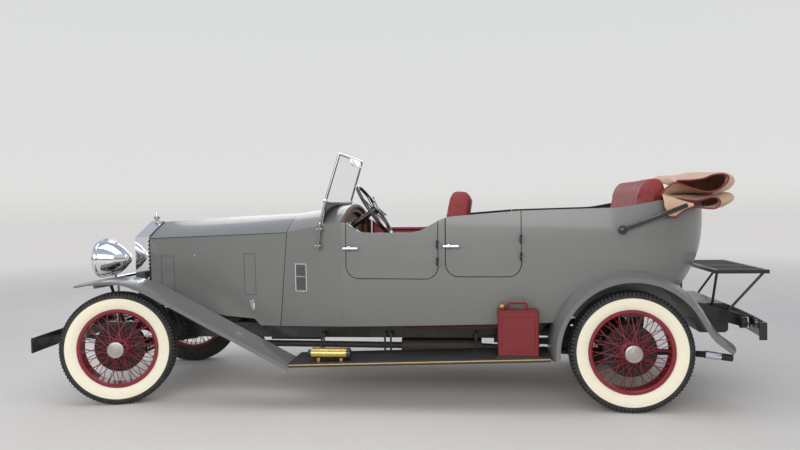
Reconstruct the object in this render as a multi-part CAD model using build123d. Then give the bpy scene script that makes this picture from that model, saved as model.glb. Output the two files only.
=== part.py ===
from build123d import *
import math
import os

# An open four-door touring car of the 1920s. X points forward, Y to the left, Z up, in millimetres.
# Places along the car are given as a distance behind the front axle, and at() turns them into X.

# Main sizes
wheelbase = 3645.0
track = 1448.0
front_overhang = 665.0  # front axle to the face of the front bumper
rear_overhang = 1000.0  # rear axle to the rear rail of the luggage rack
tyre_radius = 407.5
parked_steer = 13.0  # degrees that the front wheels are turned to the left as it stands
fit_gap = 0.3  # between seated pieces that meet on a curved or moving face
pin_gap = 0.05  # radial, round a running spindle
kingpin_gap = 0.25  # radial, round a kingpin or the pin of a steering arm

overall_length = front_overhang + wheelbase + rear_overhang
front_axle_x = overall_length / 2 - front_overhang


def at(back):
    """X of a place that lies this far behind the front axle."""
    return front_axle_x - back


def side_face(points, radii=0.0):
    """A closed outline in the side view, from (behind the front axle, above the ground)."""
    path = FilletPolyline(*[(at(back), z) for back, z in points], radius=radii, close=True)
    return make_face(path)


def across(face, y_from, y_to):
    """A side-view face drawn out across the car."""
    return Pos(0, y_from, 0) * extrude(Plane.XZ * face, amount=y_from - y_to)


def block(back_from, back_to, y_from, y_to, z_from, z_to):
    """A plain block between two places along, across and above."""
    centre = Pos(at((back_from + back_to) / 2), (y_from + y_to) / 2, (z_from + z_to) / 2)
    return centre * Box(abs(back_to - back_from), abs(y_to - y_from), abs(z_to - z_from))


def rod(start, end, radius):
    """A round bar between two (back, y, z) points."""
    foot = Vector(at(start[0]), start[1], start[2])
    head = Vector(at(end[0]), end[1], end[2])
    plane = Plane(origin=foot, z_dir=head - foot)
    return extrude(plane * Circle(radius), amount=(head - foot).length)


def bent_rod(points, bend, radius):
    """A round bar along (back, y, z) points, its corners bent to one radius."""
    path = FilletPolyline(*[(at(back), y, z) for back, y, z in points], radius=bend)
    start = Plane(origin=path @ 0, z_dir=path % 0)
    return sweep(start * Circle(radius), path=path)


def cross_plane(back):
    """The plane of a section across the car: its axes are Y and Z."""
    return Plane(origin=(at(back), 0, 0), x_dir=(0, 1, 0), z_dir=(1, 0, 0))


def other_side(shape):
    """The same piece on the right-hand side."""
    return mirror(shape, about=Plane.XZ)


def both_sides(shape):
    """A left-hand piece and its right-hand twin, as one node of separate solids."""
    return Compound([*shape.solids(), *other_side(shape).solids()])


def between(low, high, share):
    """A value part of the way from one to the other."""
    return low + (high - low) * share


# Body: heights and the plan of the tub at several levels
floor_top = 560.0
belt_z = 950.0
rail_z = 1460.0
tub_wall = 45.0
scuttle_front = 1250.0
scuttle_back = 1655.0
tub_middle = 2700.0
tub_widest = 3700.0
tail_back = 4300.0
# height, half width at the scuttle, the middle and the rear seat, and how far back the tail reaches
tub_levels = (
    (505.0, 574.0, 671.0, 673.0, 3890.0),
    (710.0, 603.0, 703.0, 699.0, 4022.0),
    (belt_z, 622.0, 718.0, 712.0, 4198.0),
    (1160.0, 621.0, 715.0, 708.0, 4268.0),
    (1300.0, 614.0, 706.0, 697.0, 4280.0),
    (rail_z, 604.0, 688.0, 672.0, 4282.0),
)
tail_fullness = 0.73  # 0.71 gives an ellipse, and more gives a squarer tail
# the lower edge of the body climbs to the rear: (behind the front axle, height) at its two ends
sill_line = ((1160.0, 523.0), (3200.0, 596.0))
raised_floor = 710.0
# the top edge of the body: behind the front axle, height, and the radius of the bend there
rail_line = (
    (scuttle_back, 1304.0, 0.0),
    (1705.0, 1288.0, 60.0),
    (1800.0, 1222.0, 90.0),
    (2200.0, 1218.0, 250.0),
    (2405.0, 1328.0, 250.0),
    (2923.0, 1364.0, 600.0),
    (3600.0, 1376.0, 600.0),
    (3885.0, 1425.0, 400.0),
    (tail_back, 1404.0, 0.0),
)
# Rear wheel arch
arch_radius = 540.0
rear_wing_inner = 600.0
wing_outer = 860.0
wing_sheet = 8.0


def belt_side(inset, row):
    """The side of the tub in plan at one level: an arc from the scuttle to the rear seat."""
    z, front, middle, rear, reach = row
    return ThreePointArc(
        (at(scuttle_back), front - inset), (at(tub_middle), middle - inset), (at(tub_widest), rear - inset))


def belt_width(back):
    """Half width of the tub at the belt, read off the arc of its side."""
    side = belt_side(0.0, tub_levels[2])
    centre = side.arc_center
    return centre.Y + math.sqrt(side.radius ** 2 - (at(back) - centre.X) ** 2)


def tub_plan(row, inset):
    """The outline of the tub in plan at one level, pulled in by the thickness of the wall."""
    z, front, middle, rear, reach = row
    side = belt_side(inset, row)
    half = rear - inset
    depth = reach - inset * 1.1 - tub_widest
    corner = (at(tub_widest + depth * tail_fullness), half * tail_fullness)
    end = (at(tub_widest + depth), 0)
    course = side % 1
    quarter = Spline((at(tub_widest), half), corner, end, tangents=[(course.X, course.Y), (0, -1)])
    left = [Line((at(scuttle_back), 0), (at(scuttle_back), front - inset)), side, quarter]
    right = [mirror(edge, about=Plane.XZ) for edge in left]
    return make_face([*left, *right])


def tub_solid(inset):
    """The whole form of the tub, solid, with its walls pulled in by inset."""
    first, last = tub_levels[0][0], tub_levels[-1][0]
    stretch = 6.0 if inset else 0.0
    sections = []
    for row in tub_levels:
        z = row[0] - stretch * (row[0] == first) + stretch * (row[0] == last)
        sections.append(Pos(0, 0, z) * tub_plan(row, inset))
    return loft(sections)


def sill_height(back):
    """Height of the body's lower edge."""
    (front, low), (rear, high) = sill_line
    return between(low, high, (back - front) / (rear - front))


def below_sill():
    """What is cut off under the body: below its lower edge, and below the raised floor at the rear."""
    step = sill_line[1][0]
    outline = side_face([
        (1100, 400), (1100, sill_height(1100)), (step, sill_height(step)), (step, raised_floor),
        (4400, raised_floor), (4400, 400)])
    return across(outline, -900, 900)


def below_rail():
    """Everything under the top edge of the body."""
    top = FilletPolyline(
        *[(at(back), z) for back, z, bend in rail_line], radius=[bend for back, z, bend in rail_line][1:-1])
    ends = Polyline((at(tail_back), rail_line[-1][1]), (at(tail_back), 300), (at(scuttle_back), 300),
                    (at(scuttle_back), rail_line[0][1]))
    return across(make_face([top, ends]), -900, 900)


# Doors, hinged at their rear edges: front edge, rear edge, bottom
doors = {
    "front": (1688.0, 2350.0, 898.0),
    "rear": (2408.0, 2923.0, 915.0),
}
# height of the two hinges, and of the handle
hinge_levels = {"front": (1019.0, 1138.0), "rear": (1053.0, 1174.0)}
handle_level = {"front": 1112.0, "rear": 1126.0}
handle_reach = 22.0  # behind the door's front edge
door_corner = 90.0
shut_gap = 6.0
hinge_radius = 8.0
hinge_stand = 11.5  # from the skin at the belt out to the hinge axis
hinge_height = 29.0
jamb_relief = 10.0  # degrees by which a door's front edge falls away inwards
door_reach = 60.0


def door_frame(door):
    """The place of a door's hinge axis, with X along the door's own skin."""
    front, rear, bottom = doors[door]
    lean = math.degrees(math.atan2(belt_width(rear) - belt_width(front), rear - front))
    return Pos(at(rear), belt_width(rear) + hinge_stand, 0) * Rot(0, 0, -lean)


def door_prism(door, grow):
    """The block that a door, or its opening, is cut with."""
    front, rear, bottom = doors[door]
    length = rear - front
    low = bottom - grow
    outline = FilletPolyline(
        (-grow, low), (length + grow, low), (length + grow, rail_z + 50), (-grow, rail_z + 50),
        radius=[door_corner + grow, door_corner + grow, 0, 0], close=True)
    depth = tub_wall + hinge_stand + door_reach
    slab = Pos(0, -depth, 0) * extrude(Plane.XZ * make_face(outline), amount=-(depth + door_reach))
    return door_frame(door) * slab


def front_relief(door):
    """What is taken off a door's front edge so that it swings clear of its pillar."""
    front, rear, bottom = doors[door]
    wedge = Pos(200, -200, 1200) * Box(400, 400, 1200)
    return door_frame(door) * Pos(rear - front, -hinge_stand, 0) * Rot(0, 0, -jamb_relief) * wedge


def hinge_barrels(door, offset, direction):
    """One leaf of each hinge: a barrel on the axis with a lug that reaches the skin."""
    leaves = []
    for level in hinge_levels[door]:
        low = level + offset
        barrel = Pos(0, 0, low + hinge_height / 2) * Cylinder(hinge_radius, hinge_height)
        lug = Pos(direction * 17, -14, low + hinge_height / 2) * Box(14, 26, hinge_height)
        neck = Pos(direction * 8, -3, low + hinge_height / 2) * Box(16, 8, hinge_height)
        leaves += [barrel, neck + lug]
    return [door_frame(door) * leaf for leaf in leaves]


def door_handle(door):
    """The lever handle near the front edge."""
    front, rear, bottom = doors[door]
    reach = rear - front - handle_reach
    z = handle_level[door]
    stem = Pos(reach, -12, z) * Rot(90, 0, 0) * Cylinder(9, 70)
    lever = Pos(reach - 18, 26, z) * Box(104, 12, 16)
    return door_frame(door) * (stem + lever)


tub_outer = tub_solid(0.0)
tub_inner = tub_solid(tub_wall)
body_limit = below_rail()
tub_shell = (tub_outer - tub_inner) & body_limit
wheel_arch = Pos(at(wheelbase), 0, tyre_radius) * Rot(90, 0, 0) * Cylinder(arch_radius, 2000)
left_half = block(1000, 5000, 0, 1200, 0, 2500)


def make_doors():
    """The four doors, cut from the same wall as the tub."""
    found = {}
    for door in doors:
        panel = (tub_shell & left_half & door_prism(door, 0.0)) - front_relief(door)
        for leaf in hinge_barrels(door, fit_gap / 2, 1):
            panel += leaf
        panel += door_handle(door)
        found[door] = panel
    return found


def make_tub():
    """Sill, pillars, quarters and tail, with the door openings and wheel arches cut out."""
    shell = tub_shell - wheel_arch - below_sill()
    for door in doors:
        opening = door_prism(door, shut_gap)
        shell -= opening
        shell -= other_side(opening)
    for door in doors:
        for leaf in hinge_barrels(door, -hinge_height - fit_gap / 2, -1):
            shell += leaf
            shell += other_side(leaf)
    return shell


# Scuttle: the arched part between the bonnet and the cockpit
scuttle_wall = 30.0
scuttle_foot = 505.0
# behind the front axle, half width at foot, belt and shoulder, height of shoulder and crown
scuttle_sections = (
    (1145.0, 455.4, 472.3, 482.9, 1216.5, 1357.5),
    (scuttle_back, 574.0, 622.0, 613.0, 1304.0, 1430.0),
)
bulkhead = 10.0
# the gap between bonnet and scuttle leans back: (behind the front axle, height) at two places
shut_line = ((1152.0, 515.0), (1238.0, 1368.0))
shut_half = 2.5


def shut_back(z):
    """Where the gap between bonnet and scuttle lies at this height."""
    (low_back, low_z), (high_back, high_z) = shut_line
    return between(low_back, high_back, (z - low_z) / (high_z - low_z))


def past_shut(offset, end):
    """Everything on one side of the gap between bonnet and scuttle, out to end."""
    outline = side_face([
        (shut_back(300) + offset, 300), (shut_back(1600) + offset, 1600), (end, 1600), (end, 300)])
    return across(outline, -900, 900)


def scuttle_section(back, foot, belt, shoulder, shoulder_z, crown_z, inset):
    """One section of the scuttle: two sides and an arched top."""
    high = shoulder_z - inset * 0.7
    right = ThreePointArc((foot - inset, scuttle_foot), (belt - inset, belt_z), (shoulder - inset, high))
    top = ThreePointArc((shoulder - inset, high), (0, crown_z - inset), (inset - shoulder, high))
    left = ThreePointArc((inset - shoulder, high), (inset - belt, belt_z), (inset - foot, scuttle_foot))
    base = Line((inset - foot, scuttle_foot), (foot - inset, scuttle_foot))
    return cross_plane(back) * make_face([base, right, top, left])


def scuttle_solid(inset):
    """The whole form of the scuttle, solid, with its walls pulled in by inset."""
    return loft([scuttle_section(*row, inset) for row in scuttle_sections])


scuttle_outer = scuttle_solid(0.0)
scuttle_inner = scuttle_solid(scuttle_wall)


def make_scuttle():
    """The arched shell with its bulkhead."""
    cabin = scuttle_inner - block(scuttle_front, scuttle_front + bulkhead, -700, 700, floor_top, 2000)
    shell = scuttle_outer - cabin - past_shut(shut_half, 1000)
    return shell - below_sill() - column_tube()


dash_back = 1600.0
dash_thick = 16.0
dash_low = 1120.0
dash_rim = 32.0


def make_dashboard():
    """The instrument board and the padded rim that follows the rear edge of the scuttle."""
    board = scuttle_inner & block(dash_back, dash_back + dash_thick, -700, 700, dash_low, 1500)
    ring = scuttle_inner & block(scuttle_back - 26, scuttle_back, -700, 700, dash_low, 1500)
    ring -= scuttle_solid(scuttle_wall + dash_rim)
    link = scuttle_inner & block(dash_back, scuttle_back, -700, 700, dash_low, 1500)
    link -= scuttle_solid(scuttle_wall + 10)
    return board + ring + link - column_tube()


# Bonnet
bonnet_front = 50.0
bonnet_gap = 5.0
bonnet_sheet = 8.0
hinge_rod_radius = 2.7
shoulder_y = 290.0
shoulder_z = 1188.0
peak_z = 1308.0
# behind the front axle, half width at the foot and the crease, height of crease and centre, rise of the top
bonnet_sections = (
    (bonnet_front + bonnet_gap, 262.0, shoulder_y, shoulder_z, peak_z, 3.0),
    (1250.0, 478.0, 508.0, 1229.5, 1369.0, 36.0),
)
hinge_drop = 1.5  # from the ridge of the bonnet down to its hinge axis
# the lower edge of a bonnet side
bonnet_foot = ((0, 668), (300, 640), (700, 588), (940, 572), (992, 522), (1300, 526))


def bonnet_section(back, foot, crease, crease_z, centre_z, rise, inset):
    """Half of the bonnet's section, from its foot over the crease to the centre hinge."""
    edge = hinge_rod_radius + fit_gap
    low = 500.0
    side = Line((foot - inset, low), (crease - inset, crease_z - inset * 0.6))
    middle = ((crease - inset) / 2, (crease_z + centre_z) / 2 - inset + rise)
    top = ThreePointArc((crease - inset, crease_z - inset * 0.6), middle, (edge, centre_z - inset))
    down = Line((edge, centre_z - inset), (edge, low))
    base = Line((edge, low), (foot - inset, low))
    return cross_plane(back) * make_face([side, top, down, base])


def make_bonnet_left():
    """The left half: a side and a top in one sheet, with a latch."""
    outer = loft([bonnet_section(*row, 0.0) for row in bonnet_sections])
    inner = loft([bonnet_section(*row, bonnet_sheet) for row in bonnet_sections])
    sheet = outer - inner
    cut = side_face([*bonnet_foot, (1300, 300), (0, 300)])
    return sheet - across(cut, -20, 900) - past_shut(-shut_half, 1500)


def make_hinge_rod():
    """The rod that both halves hinge on, from the radiator to the scuttle."""
    front, rear = bonnet_sections
    rise = (rear[4] - front[4]) / (rear[0] - front[0])
    end = shut_back(rear[4]) + shut_half - 3 * fit_gap
    low = front[4] + (bonnet_front - front[0]) * rise - hinge_drop
    return rod((bonnet_front, 0, low), (end, 0, low + (end - bonnet_front) * rise), hinge_rod_radius)


# Radiator
radiator_front = -66.0
radiator_foot = 545.0
core_half = 240.0
core_low = 610.0
core_high = 1150.0
core_front = -41.0
core_back = 30.0
slat_count = 20
slat_thick = 4.0


def make_radiator_shell():
    """The plated shell with its gabled top, the filler neck and cap, and the bonnet's hinge rod."""
    outline = Polyline(
        (-shoulder_y, radiator_foot), (shoulder_y, radiator_foot), (shoulder_y, shoulder_z + 6),
        (0, peak_z + 8), (-shoulder_y, shoulder_z + 6), close=True)
    shell = extrude(cross_plane(bonnet_front) * make_face(outline), amount=bonnet_front - radiator_front)
    shell -= block(radiator_front - 1, bonnet_front + 1, -core_half, core_half, core_low, core_high)
    neck = Pos(at(-19), 0, peak_z) * Cylinder(20, 50)
    cap = Pos(at(-19), 0, peak_z + 34) * Cylinder(29, 22)
    knob = Pos(at(-19), 0, peak_z + 62) * Cone(14, 6, 36)
    return shell + neck + cap + knob + make_hinge_rod()


def make_radiator_core():
    """The core with its row of upright shutters."""
    core = block(core_front, core_back, -core_half, core_half, core_low, core_high)
    pitch = 2 * core_half / slat_count
    for place in range(slat_count):
        y = -core_half + pitch * (place + 0.5)
        slat = Pos(at(core_front - 9), y, (core_low + core_high) / 2) * Rot(0, 0, 25) * Box(
            22, slat_thick, core_high - core_low - 20)
        core += slat
    return core


# Wings
wing_flat = 730.0
board_front = 1312.0
board_back = 3105.0
board_low = 298.5  # underside of the running board at its front end
board_rise = 0.031  # climb of the board to the rear, for each millimetre along
board_thick = 30.0
front_wing_path = ((-250.0, 882.0), (127.0, 942.0), (1420.0, 263.5))
front_wing_bend = 700.0
# where the outer lip of the front wing is trimmed off towards its tip
front_wing_trim = (
    (-310, 852), (-245, 856), (-150, 872), (-56, 879), (25, 882), (105, 876), (170, 858), (240, 822),
    (240, 700), (-310, 700))


def wing_section(inner, valance, drop, lip):
    """A wing's section: inner valance, top that falls away outwards, and the outer lip."""
    t = wing_sheet
    middle = (wing_flat + wing_outer) / 2
    top = ThreePointArc((wing_flat, 0), (middle, drop * 0.27), (wing_outer, drop))
    under = ThreePointArc((wing_outer - t, drop + t), (middle - t / 2, drop * 0.27 + t), (wing_flat, t))
    outline = [
        Line((inner, 0), (wing_flat, 0)), top,
        Line((wing_outer, drop), (wing_outer, drop + lip)),
        Line((wing_outer, drop + lip), (wing_outer - t, drop + lip)),
        Line((wing_outer - t, drop + lip), (wing_outer - t, drop + t)), under,
        Line((wing_flat, t), (inner + t, t)), Line((inner + t, t), (inner + t, valance)),
        Line((inner + t, valance), (inner, valance)), Line((inner, valance), (inner, 0)),
    ]
    return make_face(outline)


def make_front_wing():
    """The left front wing, one sheet from its tip to the running board."""
    path = FilletPolyline(*[(at(back), 0, z) for back, z in front_wing_path], radius=front_wing_bend)
    start = Plane(origin=path @ 0, x_dir=(0, 1, 0), z_dir=path % 0)
    wing = sweep(start * wing_section(600.0, 60.0, 14.0, 28.0), path=path)
    wing -= across(side_face(front_wing_trim), wing_flat - 20, 1000)
    return wing - block(board_front, 1600, 500, 1000, 200, 600)


def board_height(back):
    """Height of the running board's upper face."""
    return board_low + board_thick + (back - board_front) * board_rise


def make_rear_wing():
    """The left rear wing: an arch round the wheel with a flared tail, and the wheel box inside it."""
    cx = at(wheelbase)
    foot = board_height(board_back) - board_thick
    front = Line((cx + arch_radius, foot), (cx + arch_radius, tyre_radius))
    end = math.radians(150)
    arc_end = (cx + arch_radius * math.cos(end), tyre_radius + arch_radius * math.sin(end))
    top = (cx, tyre_radius + arch_radius)
    arc = ThreePointArc((cx + arch_radius, tyre_radius), top, arc_end)
    fall = (math.cos(end + math.pi / 2), math.sin(end + math.pi / 2))
    run = 150.0
    knee = (arc_end[0] + fall[0] * run, arc_end[1] + fall[1] * run)
    tip = (knee[0] - 112, knee[1] - 84)
    tail = FilletPolyline(arc_end, knee, tip, radius=250.0)
    path = Wire([*Plane.XZ.from_local_coords(Curve() + [front, arc, tail]).edges()])
    start = Plane(origin=path @ 0, x_dir=(0, 1, 0), z_dir=path % 0)
    wing = sweep(start * wing_section(rear_wing_inner, 30.0, 34.0, 30.0), path=path)
    disc = Pos(cx, rear_wing_inner + wing_sheet / 2, tyre_radius) * Rot(90, 0, 0) * Cylinder(
        arch_radius - 0.5 * wing_sheet, wing_sheet)
    disc &= block(wheelbase - 600, wheelbase + 600, 500, 700, 620, 1000)
    return wing + disc


# Chassis frame
frame_inner = 355.0
frame_outer = 405.0
frame_top = 540.0
frame_low = 430.0
kick_z = 690.0
frame_side = (
    (-470, 432), (-470, 472), (-250, frame_top), (3000, frame_top), (3150, kick_z), (4200, kick_z),
    (4480, 605), (4480, 520), (4200, 600), (3180, 600), (3030, frame_low), (180, frame_low), (60, 478),
    (-250, 478), (-400, 432))
# cross members: behind the front axle, height of centre, radius
frame_tubes = ((-440, 452, 20), (1650, 505, 28), (2600, 505, 28), (3400, 645, 28), (4100, 645, 28))


def make_frame():
    """Two side rails, their cross members and the wing irons."""
    rail = across(side_face(frame_side), frame_inner, frame_outer)
    frame = rail + other_side(rail)
    for back, z, radius in frame_tubes:
        frame += rod((back, -frame_inner - 5, z), (back, frame_inner + 5, z), radius)
    frame += block(-60, 30, -frame_inner - 5, frame_inner + 5, 480, radiator_foot)
    arms = []
    for back, z in ((-120, 870), (330, 800)):
        iron = rod((back, frame_outer - 15, 520), (back, 588, z), 12)
        pad = block(back - 20, back + 20, 585, 600, z - 22, z + 22)
        arms.append(iron + pad)
    for arm in arms:
        frame += arm
        frame += other_side(arm)
    return frame


# Floor
def make_floor():
    """The floor boards, the heel board and the raised floor over the rear axle."""
    heel = 2996.0
    boards = block(scuttle_front, heel, -700, 700, frame_top, floor_top)
    boards &= tub_solid(tub_wall + fit_gap) + scuttle_solid(scuttle_wall + fit_gap)
    boards += block(heel - 20, heel, -rear_wing_inner, rear_wing_inner, frame_top, kick_z)
    raised = Pos(0, 0, kick_z) * extrude(tub_plan(tub_levels[1], 0.0), amount=raised_floor - kick_z)
    return boards + (raised & block(heel - 20, tail_back, -rear_wing_inner, rear_wing_inner, 600, 800))


# Front axle, kingpins and knuckles
kingpin_y = 654.0
kingpin_radius = 14.0
boss_radius = 26.0
boss_half = 42.0
yoke_gap = 0.5
yoke_thick = 22.0
yoke_reach = 15.0  # outside the kingpin, clear of the back plate at full lock
beam_half = 18.0
beam_low = 318.0
beam_high = 372.0
spindle_radius = 24.0
post_inset = 36.0


def make_front_axle():
    """The dropped beam with a yoke and a kingpin at each end."""
    half = Polyline(
        (0, beam_low), (470, beam_low), (kingpin_y - post_inset - 26, tyre_radius - boss_half - 22),
        (kingpin_y + yoke_reach, tyre_radius - boss_half - yoke_gap - yoke_thick),
        (kingpin_y + yoke_reach, tyre_radius - boss_half - yoke_gap),
        (kingpin_y - post_inset, tyre_radius - boss_half - yoke_gap),
        (kingpin_y - post_inset, tyre_radius + boss_half + yoke_gap),
        (kingpin_y + yoke_reach, tyre_radius + boss_half + yoke_gap),
        (kingpin_y + yoke_reach, tyre_radius + boss_half + yoke_gap + yoke_thick),
        (kingpin_y - post_inset - 22, tyre_radius + boss_half + yoke_gap + yoke_thick),
        (470, beam_high), (0, beam_high), close=True)
    beam = extrude(cross_plane(beam_half) * make_face(half), amount=2 * beam_half)
    pin = Pos(at(0), kingpin_y, tyre_radius) * Cylinder(kingpin_radius, 2 * (boss_half + yoke_gap) + 30)
    beam += pin
    return beam + other_side(beam)


arm_length = 165.0
arm_low = 24.0
arm_radius = 10.0
drum_inner = 165.0
drum_outer = 178.0


def knuckle_straight(side):
    """A knuckle steering straight ahead, round its kingpin at the origin; side is 1 on the left."""
    boss = Cylinder(boss_radius, 2 * boss_half)
    stub = Pos(0, side * 70, 0) * Rot(90, 0, 0) * Cylinder(spindle_radius, 140)
    back_plate = Pos(0, side * 30, 0) * Rot(90, 0, 0) * Cylinder(drum_inner - 5, 6)
    arm = Pos(-arm_length / 2, 0, -arm_low) * Rot(0, 90, 0) * Cylinder(arm_radius, arm_length)
    eye = Pos(-arm_length, 0, -arm_low) * Cylinder(18, 2 * arm_radius)
    shape = boss + stub + back_plate + arm + eye
    shape -= Cylinder(kingpin_radius + kingpin_gap, 400)
    return shape - Pos(-arm_length, 0, -arm_low) * Cylinder(8 + kingpin_gap, 100)


def steer_left():
    """Place of the left kingpin, turned by the parked steer."""
    return Pos(at(0), kingpin_y, tyre_radius) * Rot(0, 0, parked_steer)


def steer_right():
    """Place of the right kingpin, turned by the parked steer."""
    return Pos(at(0), -kingpin_y, tyre_radius) * Rot(0, 0, parked_steer)


def make_track_rod():
    """The rod between the two steering arms, with a pin down through each eye."""
    left = (steer_left() * Pos(-arm_length, 0, 0)).position
    right = (steer_right() * Pos(-arm_length, 0, 0)).position
    low = tyre_radius - arm_low - arm_radius
    bar_z = low - 16
    plane = Plane(origin=(left.X, left.Y, bar_z), z_dir=right - left)
    bar = extrude(plane * Circle(11), amount=(right - left).length)
    for eye in (left, right):
        bar += Pos(eye.X, eye.Y, bar_z) * Cylinder(15, 26)
        bar += Pos(eye.X, eye.Y, low) * Cylinder(8, 2 * arm_radius + 10)
    return bar


# Springs
spring_y = (frame_inner + frame_outer) / 2
spring_width = 50.0


def make_front_springs():
    """Leaf packs under the rails, seated on the axle beam."""
    pack = side_face(
        [(-455, 432), (-440, 414), (-120, beam_high), (120, beam_high), (470, 416), (490, 430), (470, 430),
         (120, beam_high + 42), (-120, beam_high + 42), (-440, 432)])
    left = across(pack, spring_y - spring_width / 2, spring_y + spring_width / 2)
    return both_sides(left)


def make_rear_springs():
    """Cantilever leaf packs: hinged to the rail, pivoted at the middle, resting on the axle."""
    pack = side_face(
        [(2740, 398), (2740, 414), (3180, 430), (3300, 430), (3580, 469), (3710, 469), (3710, 453),
         (3580, 453), (3300, 384), (3180, 384)])
    left = across(pack, spring_y - spring_width / 2, spring_y + spring_width / 2)
    left += block(2740, 2790, frame_inner, frame_outer, 410, frame_low)
    left += block(3190, 3290, frame_inner, frame_outer, 425, 600)
    return both_sides(left)


# Rear axle
axle_tube = 45.0
rear_hub_face = 668.0


def axle_case(grow=0.0):
    """The round case of the differential."""
    case = Cylinder(150 + grow, 130)
    case += Pos(0, 0, 90) * Cone(150 + grow, 80 + grow, 50)
    case += Pos(0, 0, -90) * Cone(80 + grow, 150 + grow, 50)
    return Pos(at(wheelbase), 0, tyre_radius) * Rot(90, 0, 0) * case


def make_rear_axle():
    """Axle tubes with the differential, back plates and stub shafts."""
    cx, cz = at(wheelbase), tyre_radius
    tube = Pos(cx, 0, cz) * Rot(90, 0, 0) * Cylinder(axle_tube, 2 * rear_hub_face)
    axle = tube + axle_case()
    stub_end = kingpin_y + 140
    for side in (1, -1):
        axle += Pos(cx, side * (kingpin_y + 30), cz) * Rot(90, 0, 0) * Cylinder(drum_inner - 5, 6)
        axle += Pos(cx, side * (rear_hub_face + stub_end) / 2, cz) * Rot(90, 0, 0) * Cylinder(
            spindle_radius, stub_end - rear_hub_face + 20)
    return axle


# Wheels
rim_radius = 266.0
rim_half = 50.0
flange_radius = 285.0
tyre_half = 70.0
tread_half = 54.0
tread_drop = 8.0
hub_cap_radius = 58.0
hub_cap_face = 115.0
hub_bore = spindle_radius + pin_gap
spoke_radius = 2.6
outer_spokes = 20
inner_spokes = 40


def turned(points):
    """A ring turned about the axle, which is Y, from (radius, along the axle) points."""
    face = Plane.XY * make_face(Polyline(*points, close=True))
    return revolve(face, axis=Axis.Y)


def make_tyre():
    """The tyre: beads on the rim, rounded walls and a flat tread."""
    wall = (tyre_radius + rim_radius) / 2
    shoulder = tyre_radius - tread_drop
    right = [
        Line((rim_radius, rim_half), (flange_radius, rim_half)),
        ThreePointArc((flange_radius, rim_half), (wall, tyre_half), (shoulder, tread_half + 6)),
        Line((shoulder, tread_half + 6), (tyre_radius, tread_half - 12)),
    ]
    left = [
        Line((tyre_radius, 12 - tread_half), (shoulder, -tread_half - 6)),
        ThreePointArc((shoulder, -tread_half - 6), (wall, -tyre_half), (flange_radius, -rim_half)),
        Line((flange_radius, -rim_half), (rim_radius, -rim_half)),
    ]
    tread = Line((tyre_radius, tread_half - 12), (tyre_radius, 12 - tread_half))
    bead = Line((rim_radius, -rim_half), (rim_radius, rim_half))
    return revolve(make_face([*right, tread, *left, bead]), axis=Axis.Y)


def spoke(hub_radius, hub_y, rim_y, place, lace):
    """One spoke from the hub to the rim, leaning round the hub by the lace angle."""
    a = math.radians(place + lace)
    b = math.radians(place)
    foot = Vector(hub_radius * math.cos(a), hub_y, hub_radius * math.sin(a))
    head = Vector((rim_radius - 5) * math.cos(b), rim_y, (rim_radius - 5) * math.sin(b))
    plane = Plane(origin=foot, z_dir=head - foot)
    return extrude(plane * Circle(spoke_radius), amount=(head - foot).length)


def make_wire_wheel():
    """Rim, laced spokes, hub, cap and brake drum, with the outer face towards +Y."""
    rim = turned([
        (rim_radius - 8, -rim_half), (rim_radius - 8, rim_half), (rim_radius, rim_half + 7),
        (flange_radius, rim_half + 7), (flange_radius, rim_half), (rim_radius, rim_half),
        (rim_radius, -rim_half), (flange_radius, -rim_half), (flange_radius, -rim_half - 7),
        (rim_radius, -rim_half - 7)])
    hub = turned([
        (hub_bore, -4), (66, -4), (66, 18), (50, 28), (44, 66), (52, 78), (52, 92), (hub_cap_radius, 94),
        (hub_cap_radius, hub_cap_face - 5), (hub_cap_radius - 6, hub_cap_face), (0, hub_cap_face), (0, 80),
        (hub_bore, 80)])
    drum = turned([
        (60, -8), (60, 0), (drum_outer, 0), (drum_outer, -52), (drum_inner, -52), (drum_inner, -8)])
    wheel = rim + hub + drum
    for count, hub_radius, hub_y, rim_y, lace in (
            (outer_spokes, 48.0, 84.0, 22.0, 38.0), (inner_spokes, 62.0, 10.0, 6.0, 62.0)):
        for place in range(count):
            lean = lace if place % 2 else -lace
            shift = 360.0 / count * place
            wheel += spoke(hub_radius, hub_y + (3 if place % 2 else 0), rim_y, shift, lean)
    return wheel


# Engine, gearbox and exhaust
def make_engine():
    """The engine as one plain block, with its mounting arms on the rails."""
    engine = block(150, 980, -170, 170, 470, 1090) + block(150, 980, -110, 110, 400, 470)
    engine += block(180, 230, -frame_inner, frame_inner, 480, 530)
    engine += block(760, 810, -frame_inner, frame_inner, 480, 530)
    return engine


def make_driveline():
    """Gearbox behind the engine and the torque tube to the rear axle."""
    gearbox = block(980, 1400, -130, 130, 360, 535)
    tube = rod((1400, 0, 440), (wheelbase - 120, 0, tyre_radius), 40) - axle_case(fit_gap)
    return gearbox + tube


exhaust_y = 290.0


def make_exhaust():
    """Down pipe, silencer under the floor and the tail pipe."""
    pipe = bent_rod(
        [(880, 170, 560), (880, exhaust_y, 560), (960, exhaust_y, 360), (2100, exhaust_y, 350)], 30, 24)
    silencer = rod((2050, exhaust_y, 350), (2650, exhaust_y, 350), 62)
    tail = bent_rod(
        [(2600, exhaust_y, 350), (3300, exhaust_y, 312), (4000, exhaust_y, 312), (4200, 440, 330),
         (4395, 440, 304)], 60, 22)
    return pipe + silencer + tail


# Seats and folded hood
def cushion(outline, radii, half, edge):
    """A padded block: a side-view outline drawn across, with its long edges rounded."""
    pad = across(side_face(outline, radii), -half, half)
    ends = pad.faces().sort_by(Axis.Y)
    return fillet([*ends[0].edges(), *ends[-1].edges()], edge)


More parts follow.
